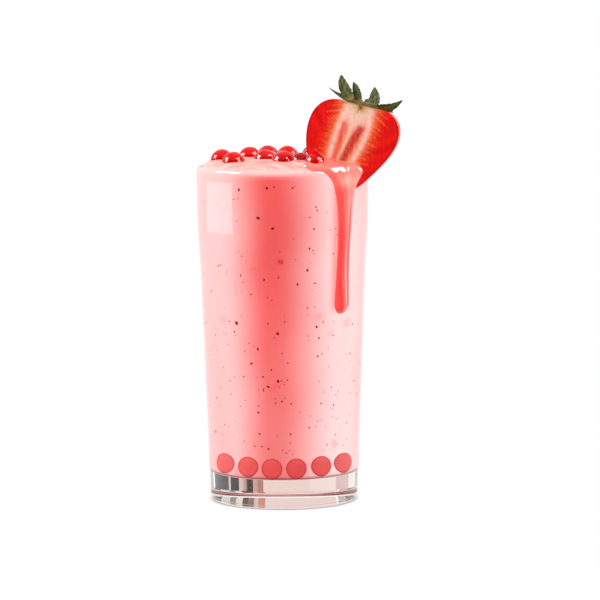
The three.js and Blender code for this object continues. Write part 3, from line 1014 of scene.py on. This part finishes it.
def face_colour(x, z):
    """Colours of the cut face: deep red flesh, pale veins with short warm fibres, and a grainy core."""
    spots = np.stack([x, z], 1)
    left, left_along = nearest(spots, LEFT_VEIN)
    right, right_along = nearest(spots, RIGHT_VEIN)
    left_hollow, _ = nearest(spots, LEFT_HOLLOW)
    right_hollow, _ = nearest(spots, RIGHT_HOLLOW)
    core, _ = nearest(spots, CORE)
    left_x = np.interp(-z, -LEFT_VEIN[:, 1], LEFT_VEIN[:, 0])
    right_x = np.interp(-z, -RIGHT_VEIN[:, 1], RIGHT_VEIN[:, 0])
    inside = smoothstep(x, left_x - 0.5, left_x + 0.5) * (1 - smoothstep(x, right_x - 0.5, right_x + 0.5))
    on_left = x < (left_x + right_x) / 2
    out = np.where(on_left, left, right)
    along = np.where(on_left, left_along, right_along + 40)
    down = np.where(on_left, left_along, right_along)
    low = smoothstep(-z, 20, 36)
    threads, strand = fibres(down + np.where(on_left, 0.0, 0.7), out, 61)

    deep = 0.5 + 0.5 * waves(along + 0.8 * out, (9.0, 5.5), 66)
    colours = blend(all_over(linear(196, 2, 2), x), linear(214, 10, 6), deep)
    warm = (1 - smoothstep(out, 0.2, lerp(6.0, 9.0, strand))) ** 1.3
    colours = blend(colours, linear(216, 84, 34), 0.9 * warm * (1 - 0.35 * low))
    colours = blend(colours, linear(226, 130, 78), 0.75 * threads * (1 - 0.3 * low))
    colours = blend(colours, linear(222, 134, 106), 0.7 * bell(out, 1.6))

    shade = 0.5 + 0.5 * waves(x + 0.15 * z, (1.7, 2.6, 1.1), 63)
    pulp = blend(all_over(linear(212, 92, 58), x), linear(220, 134, 104), shade)
    pulp = blend(pulp, linear(222, 184, 172), 1 - smoothstep(-z + 0.6 * np.abs(x + 1.5), 5, 15))
    grains = 0.5 + 0.5 * waves(z + 0.8 * x, (1.1, 1.7), 64) * waves(x - 0.4 * z, (0.9, 1.5), 65)
    soft = bell(left_hollow, 1.5)
    pulp = blend(pulp, np.array(linear(214, 58, 32)), 0.9 * soft * lerp(0.7, 1.0, grains))
    pulp = blend(pulp, linear(226, 174, 152), 0.8 * bell(core, 1.0) * (1 - 0.6 * low))
    hollow = np.exp(-((right_hollow / 1.8) ** 4))
    pulp = blend(pulp, np.array(linear(176, 12, 8)), hollow * lerp(0.7, 1.0, grains))
    pulp = blend(pulp, linear(232, 104, 72), 0.65 * hollow * smoothstep(grains, 0.7, 0.95))
    colours = blend(colours, pulp, inside)

    glow = lerp(0.7, 1.0, 0.5 + 0.5 * waves(along, (5.2, 3.1), 67))
    for gap in (left, right):
        colours = blend(colours, linear(230, 182, 170), 0.85 * glow * bell(gap, lerp(1.25, 0.85, low)))

    crown = np.hypot((x + 0.6) * 0.7, z + 0.6)
    colours = blend(colours, linear(200, 152, 104), 0.85 * bell(crown, 4.0))
    around = np.arctan2(z + 1.0, x + 0.5)
    star = np.hypot(x + 0.5, z + 1.0) / (1.7 + 0.7 * waves(around * 10, (9.0, 5.2, 14.0), 68))
    colours = blend(colours, linear(150, 92, 40), 0.85 * np.exp(-(star**2)))
    colours = blend(colours, linear(92, 40, 12), 0.9 * bell(star, 0.5))
    share = np.clip((BERRY_SHOULDER - z) / BERRY_LENGTH, 0, 1)
    shoulder = bell(z - 0.2, 0.8) * (1 - smoothstep(np.abs(x), 6.5, 11.5))
    colours = blend(colours, linear(150, 112, 48), 0.7 * shoulder)
    cut_away = (BERRY_CUT * BERRY_HALF_WIDTH / BERRY_HALF_DEPTH) ** 2
    width = np.sqrt(np.clip(berry_half_width(share) ** 2 - cut_away, 0.1, None))
    rim = width - np.abs(x - berry_lean(share))
    edge = (1 - smoothstep(rim, 0.1, 0.8)) * smoothstep(share, 0.03, 0.1)
    return blend(colours, linear(128, 0, 6), 0.8 * edge)


def berry_colour(points):
    """Colours of the whole half berry: the cut face, and skin that pales towards the leaves."""
    place = to_berry(points)
    x, y, z = place.T
    skin = all_over(linear(206, 10, 10), points)
    skin = blend(skin, linear(228, 34, 20), 0.5 + 0.5 * waves(x + z + 0.5 * y, (11.0, 17.0), 71))
    reach = np.hypot(x - BERRY_OFFSET, (y - BERRY_CUT) * 1.2)
    pale = 0.8 * (1 - smoothstep(reach, 6.5, 11.5)) * smoothstep(z, -6, -1)
    skin = blend(skin, linear(238, 150, 110), pale)
    face = 1 - smoothstep(y, 0.12, 0.2)
    colours = skin
    chosen = face > 0
    colours[chosen] = blend(skin[chosen], face_colour(x[chosen], z[chosen]), face[chosen])
    return colours


SLIT_SEGMENTS = 180


def wall_ring(shrink):
    """The tumbler's upper wall, thinner all over by a little: it cuts the slit that the berry hangs by."""
    foot = COLLAR_FROM
    profile = [
        *wall_profile(foot, LIP_HEIGHT, -shrink, 4),
        *arc(LIP_RADIUS, LIP_HEIGHT, WALL / 2 - shrink, 0, 180, 12)[1:],
        *wall_profile(LIP_HEIGHT, foot, shrink - WALL, 4)[1:],
    ]
    points, faces = lathe(profile, SLIT_SEGMENTS)
    last = (len(profile) - 1) * SLIT_SEGMENTS
    for k in range(SLIT_SEGMENTS):
        n = (k + 1) % SLIT_SEGMENTS
        faces.append((last + k, last + n, n, k))
    return mesh_piece("slit", points, faces, None)


def berry_cutter():
    points, faces = berry_shell(berry_outline(-INTO, 60, 60, 40))
    return mesh_piece("berry_pocket", to_model(points), faces, None)


def make_berry():
    points, faces = berry_shell(berry_outline())
    piece = mesh_piece("strawberry_flesh", to_model(dimpled(points)), faces, berry_flesh())
    cut(piece, [wall_ring(INTO)])
    keep_largest(piece)
    paint(piece, berry_colour)
    install(piece, "strawberry_half")


def make_seeds():
    parts = []
    tints = []
    random = np.random.default_rng(5)
    for place, outward, up in SEEDS:
        centre = to_model([place - outward * (DIMPLE_DEPTH - 0.16)])[0]
        if abs(math.hypot(centre[0], centre[1]) - LIP_RADIUS) < 1.6 and centre[2] < GLASS_HEIGHT + 0.6:
            continue
        side = np.cross(up, outward)
        length = SEED_LENGTH * random.uniform(0.85, 1.1)
        points, faces = ball_mesh((0, 0, 0), (1, 1, 1), 2)
        taper = 1 - 0.35 * points[:, 2]
        points[:, 0] *= taper
        axes = np.array([side * 0.34 * length, outward * 0.2 * length, up * 0.5 * length])
        parts.append((points @ (axes @ GARNISH.T) + centre, faces))
        shade = lerp(np.array(linear(226, 178, 84)), np.array(linear(176, 96, 34)), random.uniform())
        tints.append(all_over(shade, points))
    piece = mesh_piece("strawberry_seeds", *joined(parts), seed_husk(), np.concatenate(tints))
    install(piece)


# Leaves


def leaf_blade(root, tip, bow, width, twist, curl, seed):
    """One sepal: a pointed, cupped and wavy blade along a bowed midrib, with its colours."""
    rows, columns = 44, 21
    root, tip = np.array(root), np.array(tip)
    middle = (root + tip) / 2 + (bow[0], 0, bow[1])
    share = np.linspace(0, 1, rows)[:, None]
    spine = (1 - share) ** 2 * root + 2 * share * (1 - share) * middle + share**2 * tip
    along = 2 * (1 - share) * (middle - root) + 2 * share * (tip - middle)
    along /= np.linalg.norm(along, axis=1)[:, None]
    sideways = np.cross(along, (0, 1, 0))
    sideways /= np.linalg.norm(sideways, axis=1)[:, None]
    angle = math.radians(twist)
    sideways = sideways * math.cos(angle) + np.cross(along, sideways) * math.sin(angle)
    normal = np.cross(along, sideways)
    offset = np.linspace(-1, 1, columns)[None, :]
    body = np.sin(np.pi * lerp(0.16, 0.992, share) ** 0.8) ** 0.8
    tooth = 1 + 0.05 * waves(share * 12, (2.6, 1.9), seed)
    reach = body * tooth * width / 2
    cup = curl * offset**2 - 0.25 * np.sin(5 * share) * offset
    vein = 0.1 * bell(offset, 0.1) + 0.03 * np.cos(26 * share - 7 * np.abs(offset))
    lift = (cup - vein) * body
    thick = LEAF_THICKNESS / 2 * (1 - 0.7 * offset**2) * (1 - 0.5 * share)
    sheets = []
    for side in (-1, 1):
        depth = lift + side * thick
        sheets.append(
            spine[:, None, :]
            + sideways[:, None, :] * (offset * reach)[:, :, None]
            + normal[:, None, :] * depth[:, :, None]
        )
    spots = np.stack(np.broadcast_arrays(share, offset), -1).reshape(-1, 2)
    tint = leaf_colour(spots[:, 0], spots[:, 1], seed)
    points, faces = slab(*sheets)
    return to_model(points), faces, np.concatenate([tint, tint])


def leaf_colour(share, offset, seed):
    """Olive green, yellower at the root and on the midrib, and dark and dry at the tip and edges."""
    tint = all_over(linear(74, 78, 22), share)
    patch = 0.5 + 0.5 * waves(share * 10 + offset * 2, (4.3, 2.7), seed + 7)
    tint = blend(tint, linear(40, 44, 12), 0.8 * patch)
    tint = blend(tint, linear(118, 112, 44), 0.5 * bell(offset, 0.16))
    tint = blend(tint, linear(140, 114, 50), 0.85 * (1 - smoothstep(share, 0.02, 0.2)))
    dry = np.maximum(smoothstep(share, 0.8, 1.0), 0.6 * smoothstep(np.abs(offset), 0.8, 1.0))
    return blend(tint, linear(32, 28, 12), 0.75 * dry)


def make_leaves():
    parts = []
    tints = []
    for k, (root, tip, bow, width, twist, curl) in enumerate(LEAVES):
        points, faces, tint = leaf_blade(root, tip, bow, width, twist, curl, 100 + 10 * k)
        parts.append((points, faces))
        tints.append(tint)
    points, faces = ball_mesh((0, 0, 0), (1, 1, 1), 4)
    bumps = 1 + 0.07 * waves(np.arctan2(points[:, 1], points[:, 0]) * 10, (9.0, 5.0, 13.0), 90)
    points *= np.stack([bumps, bumps, np.ones(len(bumps))], 1)
    points = points * (HUB["across"], HUB["deep"], HUB["high"]) + (HUB["x"], HUB["y"], HUB["z"])
    points[:, 1] = np.maximum(points[:, 1], 0.25)
    reach = np.abs(points[:, 0] - HUB["x"]) / HUB["across"]
    green = all_over(linear(66, 66, 22), points)
    green = blend(green, linear(126, 96, 44), 1 - smoothstep(reach, 0.1, 0.7))
    cut_side = 1 - smoothstep(points[:, 1], 0.25, 0.6)
    green = blend(green, linear(110, 62, 24), 0.8 * cut_side * (1 - smoothstep(reach, 0.0, 0.45)))
    parts.append((to_model(points), faces))
    tints.append(green)
    piece = mesh_piece("strawberry_sepals", *joined(parts), leaf_green(), np.concatenate(tints))
    install(piece, "strawberry_leaves")


# Sauce


def sauce_stations():
    """The sauce's path from the drip's end to the pool: place, way out, reach, thickness and depth."""
    rows = []
    for z, left, right, thick in SAUCE_OUTSIDE:
        rows.append((float(outer_radius(z)), z, 1, 0, left, right, thick, SAUCE_SINK))
    left, right, thick = SAUCE_LIP
    for turn in np.radians((15, 45, 75)):
        out, up = math.cos(turn), math.sin(turn)
        place = (LIP_RADIUS + out * WALL / 2, LIP_HEIGHT + up * WALL / 2)
        rows.append((*place, out, up, left, right, thick, WALL / 2))
    for inset, left, right, thick in SAUCE_INSIDE:
        radius = RIM_RADIUS - inset
        rows.append((radius, float(mound_height(radius)), 0, 1, left, right, thick, SAUCE_SINK))
    return np.array(rows, float)


def smoothed(values, width):
    """Values with a soft window run over them, end values held."""
    window = np.hanning(2 * width + 1)[1:-1]
    window /= window.sum()
    padded = np.concatenate([np.full(width - 1, values[0]), values, np.full(width - 1, values[-1])])
    return np.convolve(padded, window, "valid")


def sauce_way(radius, distances):
    """Places along the sauce's line and the ways out from it: round the rim, and then along the berry."""
    line = np.linspace(-24, 16, 801)
    along_rim = math.pi / 2 - math.radians(SAUCE_BEARING) + line / RIM_RADIUS
    heading = lerp(along_rim, -math.radians(BERRY_YAW), smoothstep(line, BEND - 2.6, BEND + 2.6))
    step = line[1] - line[0]
    stretch = np.where(line < BEND - 2.6, radius / RIM_RADIUS, 1.0)
    x = np.cumsum(np.cos(heading) * stretch) * step
    y = np.cumsum(np.sin(heading) * stretch) * step
    start = math.radians(SAUCE_BEARING)
    x += radius * math.cos(start) - np.interp(0, line, x)
    y += -radius * math.sin(start) - np.interp(0, line, y)
    turn = np.interp(distances, line, heading)
    return np.interp(distances, line, x), np.interp(distances, line, y), np.sin(turn), -np.cos(turn)


def sauce_sheet():
    stations = sauce_stations()
    steps = np.linalg.norm(np.diff(stations[:, :2], axis=0), axis=1)
    length = np.concatenate([[0], np.cumsum(steps)])
    fine = np.linspace(0, length[-1], 230)
    rows = np.stack([np.interp(fine, length, column) for column in stations.T], 1)
    for column in range(4, 8):
        rows[:, column] = smoothed(rows[:, column], 12)
    for column in range(2, 4):
        rows[:, column] = smoothed(rows[:, column], 4)
    norm = np.hypot(rows[:, 2], rows[:, 3])
    rows[:, 2:4] /= norm[:, None]
    cap = np.sqrt(np.clip(1 - ((DRIP_CAP - fine) / DRIP_CAP).clip(0) ** 2, 0.004, 1))
    tail = np.sqrt(np.clip((length[-1] - fine) / 3.0, 0.01, 1))
    columns = 81
    across = -np.cos(np.pi * np.linspace(0, 1, columns))
    outer = np.zeros((len(rows), columns, 3))
    inner = np.zeros_like(outer)
    for r, (radius, z, out, up, left, right, thick, sink) in enumerate(rows):
        distance = np.where(across < 0, across * left, across * right) * cap[r]
        flatness = lerp(0.5, 0.4, float(smoothstep(z, 120, 146)))
        rise = thick * cap[r] * tail[r] * np.clip(1 - across**2, 0, 1) ** flatness + 0.04
        rise = rise * (1 + 0.04 * waves(across * 4 + z / 9, (3.3, 2.2), 81))
        x, y, nx, ny = sauce_way(radius, distance)
        for sheet, height in ((outer, rise), (inner, np.full(columns, -sink))):
            sheet[r, :, 0] = x + nx * out * height
            sheet[r, :, 1] = y + ny * out * height
            sheet[r, :, 2] = z + up * height
    return slab(outer, inner)


def tumbler_core():
    """The filled tumbler, a little small: the sauce is cut to it, so that it sits just in the glass."""
    radii = (DRINK_RADIUS - 0.02) * np.linspace(1, 0, 60)
    profile = [
        (0, DRIP_END - 20),
        *wall_profile(DRIP_END - 20, LIP_HEIGHT, -INTO),
        *arc(LIP_RADIUS, LIP_HEIGHT, WALL / 2 - INTO, 0, 150, 12)[1:],
        *[(float(r), float(mound_height(r)) - INTO) for r in radii],
    ]
    return mesh_piece("core", *lathe(profile, 200), None)


def sauce_colour(points):
    """Coral, deeper red at its left side and paler at its right and higher up, with painted highlights over
    the lip and inside the drip's right edge, and a painted dark line along that edge.
    """
    x, y, z = points.T
    bearing = np.degrees(np.arctan2(-y, x))
    across = (bearing - SAUCE_BEARING) * np.pi / 180 * RIM_RADIUS
    # Deeper red at the sauce's left side, paler salmon at its right.
    depth = 1 - smoothstep(across, -2.5, 2.2)
    high = smoothstep(z, 108, 140)
    colours = blend(all_over(linear(234, 62, 60), points), linear(238, 78, 74), high)
    thick = blend(all_over(linear(244, 96, 88), points), linear(250, 138, 124), high)
    colours = blend(colours, thick, depth)
    pool = smoothstep(z, 141, 151)
    colours = blend(colours, linear(246, 128, 112), 0.75 * pool)
    # Painted highlight: a pale cream patch where the sauce bends over the lip.
    painted_highlight = np.exp(-((across / 3.8) ** 2) - ((z - 144.0) / 2.6) ** 2)
    colours = blend(colours, linear(253, 200, 186), 0.55 * painted_highlight)
    heights = [row[0] for row in SAUCE_OUTSIDE]
    right = np.interp(z, heights, [row[2] for row in SAUCE_OUTSIDE])
    inward = right + across
    outside = smoothstep(-y, 0, 10) * (1 - smoothstep(z, 128, 142))
    # Painted highlight: a thin pale line just inside the drip's right edge, low down.
    shine = bell(inward - 3.2, 0.5) * smoothstep(z, 89, 93) * (1 - smoothstep(z, 106, 120))
    colours = blend(colours, linear(250, 176, 160), 0.75 * shine * outside)
    # Painted shade: a dark line along the drip's right edge.
    return blend(colours, linear(176, 46, 52), 0.65 * (1 - smoothstep(inward, 1.9, 2.6)) * outside)


def make_sauce():
    points, faces = sauce_sheet()
    piece = mesh_piece("sauce_syrup", points, faces, coral_sauce())
    cut(piece, [tumbler_core(), ball_cutters()])
    keep_largest(piece)
    paint(piece, sauce_colour)
    hide_from(piece, "shadow", "diffuse")
    install(piece, "sauce")


# Stage, light and camera


def look_at(place, target):
    forward = np.array(target, float) - np.array(place, float)
    forward /= np.linalg.norm(forward)
    back = -forward
    right = np.cross((0, 0, 1), back)
    right /= np.linalg.norm(right)
    up = np.cross(back, right)
    matrix = Matrix.Identity(4)
    for k in range(3):
        matrix[k][0], matrix[k][1], matrix[k][2], matrix[k][3] = right[k], up[k], back[k], place[k]
    return matrix


# Each light: name, place, what it points at, width, height, power, and the kind of ray that doesn't see it.
BODY = (0, 0, 0.09)
LIP = (0, 0, 0.15)
LIGHTS = (
    ("left", (-0.8, -0.35, 0.42), BODY, 0.5, 0.8, 5.0, "glossy"),
    ("right", (0.85, -0.3, 0.5), BODY, 0.45, 0.7, 4.0, "glossy"),
    ("shine_left", (-0.78, -0.07, 0.6), LIP, 0.6, 0.5, 30.0, "diffuse"),
    ("shine_right", (0.74, -0.22, 0.62), LIP, 0.7, 0.75, 32.0, "diffuse"),
)


def softbox(name, place, target, width, height, power, unseen_by):
    light = bpy.data.lights.new(name, "AREA")
    light.shape = "RECTANGLE"
    light.size = width
    light.size_y = height
    light.energy = power
    lamp = bpy.data.objects.new(name, light)
    lamp.matrix_world = look_at(place, target)
    hide_from(lamp, "camera", unseen_by)
    bpy.context.scene.collection.objects.link(lamp)


def glowing(name, strength=1.0):
    """A stage material that gives off the colours painted on its mesh."""
    shader = Shader(name, Base_Color=(0, 0, 0, 1), Specular_IOR_Level=0.0, Emission_Strength=strength)
    shader.link(shader.tint(), shader.surface.inputs["Emission Color"])
    return shader.material


# What the thick base of the tumbler bends into view from behind it: from and to, in degrees right of straight
# behind, and the colour there. The upper band of the base shows the low part of the screen, and its foot the
# high part.
BASE_TONES = (
    (61.0, 78.0, (138, 134, 130)),
    (33.2, 56.0, (62, 54, 50)),
    (31.4, 33.2, (204, 192, 184)),
    (24.0, 31.2, (50, 38, 34)),
    (18.5, 24.0, (222, 192, 182)),
    (15.0, 18.5, (66, 40, 32)),
    (12.5, 15.0, (204, 158, 148)),
    (9.6, 12.5, (180, 128, 114)),
    (-12.0, 9.6, (240, 213, 204)),
    (-29.5, -12.0, (246, 221, 214)),
    (-45.0, -29.5, (218, 186, 186)),
    (-57.0, -45.0, (240, 232, 228)),
    (-80.0, -61.0, (160, 140, 136)),
)
FOOT_TONES = (
    (44.0, 72.0, (60, 58, 54)),
    (34.0, 43.0, (205, 203, 200)),
    (27.3, 33.5, (146, 136, 132)),
    (22.2, 27.3, (230, 216, 206)),
    (18.5, 22.2, (90, 70, 60)),
    (15.0, 18.5, (166, 136, 126)),
    (12.6, 15.0, (216, 190, 180)),
    (9.0, 12.6, (200, 136, 120)),
    (-31.0, 9.0, (232, 210, 200)),
    (-43.0, -33.0, (196, 172, 166)),
    (-66.0, -43.0, (112, 92, 86)),
)
SCREEN_DISTANCE = 420.0
SCREEN_LOW = -130.0
SCREEN_HIGH = 140.0


def make_base_cards():
    """A low curved screen of tones behind the tumbler, which only the clear base shows."""
    parts = []
    tints = []
    for low, high, tones in ((SCREEN_LOW, 0.0, BASE_TONES), (0.0, SCREEN_HIGH, FOOT_TONES)):
        for turn, (start, end, tone) in enumerate(tones):
            steps = max(2, int(abs(end - start) / 3) + 1)
            angles = np.radians(np.linspace(start, end, steps))
            ways = np.stack([np.sin(angles), np.cos(angles), np.zeros(steps)], 1)
            foot = (SCREEN_DISTANCE + turn % 2) * ways + (0, 0, low)
            card = np.concatenate([foot, foot + (0, 0, high - low)])
            parts.append((card, [(k, k + 1, steps + k + 1, steps + k) for k in range(steps - 1)]))
            tints.append(all_over(linear(*tone), card))
    cards = mesh_piece("base_cards", *joined(parts), glowing("base_tones"), np.concatenate(tints))
    hide_from(cards, "camera", "diffuse", "glossy", "shadow")


SIDE_ACROSS = (-33.2, -21.8)
SIDE_HEIGHTS = (121.5, 143.4)
SIDE_REACH = 600.0
SIDE_TONES = (0.6, 1.0)
SIDE_STRENGTH = 4.0


def make_side_card():
    """A bright card to the left, placed where the tumbler's wall mirrors it as an upright rectangle."""
    eye = np.array([0, -CAMERA_DISTANCE, CAMERA_HEIGHT]) / MM
    across = np.linspace(*SIDE_ACROSS, 9)
    rows = []
    for height in np.linspace(*SIDE_HEIGHTS, 9):
        radius = float(outer_radius(height))
        slope = float(outer_radius(height) - outer_radius(height - 1))
        places = np.stack([across, -np.sqrt(radius**2 - across**2), np.full(len(across), height)], 1)
        normals = np.stack([places[:, 0] / radius, places[:, 1] / radius, np.full(len(across), -slope)], 1)
        normals /= np.linalg.norm(normals, axis=1)[:, None]
        sight = places - eye
        sight /= np.linalg.norm(sight, axis=1)[:, None]
        bounce = sight - 2 * (sight * normals).sum(1)[:, None] * normals
        rows.append(places + SIDE_REACH * bounce)
    count = len(across)
    faces = grid_faces(len(rows), count)
    tone = np.tile(np.linspace(*SIDE_TONES, count), len(rows))
    tints = np.tile(tone[:, None], (1, 3))
    card = mesh_piece("side_card", np.concatenate(rows), faces, glowing("side_white", SIDE_STRENGTH), tints)
    hide_from(card, "camera", "diffuse", "shadow", "transmission")


FLAG_DARK = 0.04
FLAG_NEAR = 60.0
FLAG_FAR = 1650.0
FLAG_HIGH = 1100.0
FLAG_SPREAD = 84.0
FLAG_FADE = (14.0, 80.0)


def make_front_flag():
    """A dark card on the floor and behind the camera, fading to white sideways. Only reflections show it."""
    angles = np.linspace(-FLAG_SPREAD, FLAG_SPREAD, 57)
    ways = np.stack([np.sin(np.radians(angles)), -np.cos(np.radians(angles)), np.zeros(len(angles))], 1)
    rows = [ways * FLAG_NEAR, ways * FLAG_FAR, ways * FLAG_FAR + (0, 0, FLAG_HIGH)]
    points = np.concatenate(rows) + (0, 0, 0.5)
    faces = grid_faces(len(rows), len(angles))
    tone = lerp(FLAG_DARK, 1.0, smoothstep(np.abs(angles), *FLAG_FADE))
    tints = np.repeat(np.tile(tone, 3)[:, None], 3, axis=1)
    flag = mesh_piece("front_flag", points, faces, glowing("flag_grey"), tints)
    hide_from(flag, "camera", "diffuse", "shadow", "transmission")


CONTACT_INNER = 29.5
CONTACT_OUTER = 34.0
CONTACT_DARK = 0.30


def make_contact_shade():
    """The soft dark line where the foot stands on the white floor."""
    angles = np.linspace(0, TAU, 129)[:-1]
    ways = np.stack([np.cos(angles), np.sin(angles), np.zeros(len(angles))], 1)
    radii = np.linspace(CONTACT_INNER, CONTACT_OUTER, 12)
    count = len(angles)
    points = np.concatenate([ways * radius for radius in radii]) + (0, 0, -0.05)
    faces = grid_faces(len(radii), count, closed=True)
    fade = smoothstep(radii, FOOT_RADIUS - FOOT_ROUND, CONTACT_OUTER)
    tone = lerp(CONTACT_DARK, 1.0, np.repeat(fade, count))
    ring = mesh_piece("contact_shade", points, faces, glowing("contact_grey"), np.tile(tone[:, None], (1, 3)))
    hide_from(ring, "diffuse", "glossy", "shadow")


def make_stage():
    half = 4000
    below = -0.1
    corners = [(-half, -half, below), (half, -half, below), (half, half, below), (-half, half, below)]
    floor = mesh_piece("floor", corners, [(0, 1, 2, 3)], glowing("floor_white"), np.ones((4, 3)))
    hide_from(floor, "transmission")
    make_front_flag()
    make_contact_shade()
    make_base_cards()
    world = bpy.data.worlds.new("studio")
    world.use_nodes = True
    world.node_tree.nodes["Background"].inputs["Color"].default_value = (1, 1, 1, 1)
    world.node_tree.nodes["Background"].inputs["Strength"].default_value = 1.0
    bpy.context.scene.world = world
    for light in LIGHTS:
        softbox(*light)
    make_side_card()


def make_camera():
    camera = bpy.data.objects.new("camera", bpy.data.cameras.new("camera"))
    camera.data.sensor_width = SENSOR_MM
    camera.data.lens = SENSOR_MM * FOCAL_PIXELS / FRAME_PIXELS
    camera.data.clip_start = 0.05
    yaw = -math.atan((FRAME_PIXELS / 2 - AXIS_PIXEL) / FOCAL_PIXELS)
    turn = (
        Matrix.Rotation(yaw, 4, "Z")
        @ Matrix.Rotation(math.radians(90 - CAMERA_PITCH), 4, "X")
        @ Matrix.Rotation(math.radians(-CAMERA_ROLL), 4, "Z")
    )
    camera.matrix_world = Matrix.Translation((0, -CAMERA_DISTANCE, CAMERA_HEIGHT)) @ turn
    bpy.context.scene.collection.objects.link(camera)
    bpy.context.scene.camera = camera


scene = bpy.context.scene
scene.view_settings.view_transform = "Standard"
make_camera()
make_stage()
make_tumbler()
make_boba()
make_drink()
make_sunken_boba()
make_specks()
make_berry()
make_seeds()
make_leaves()
make_sauce()
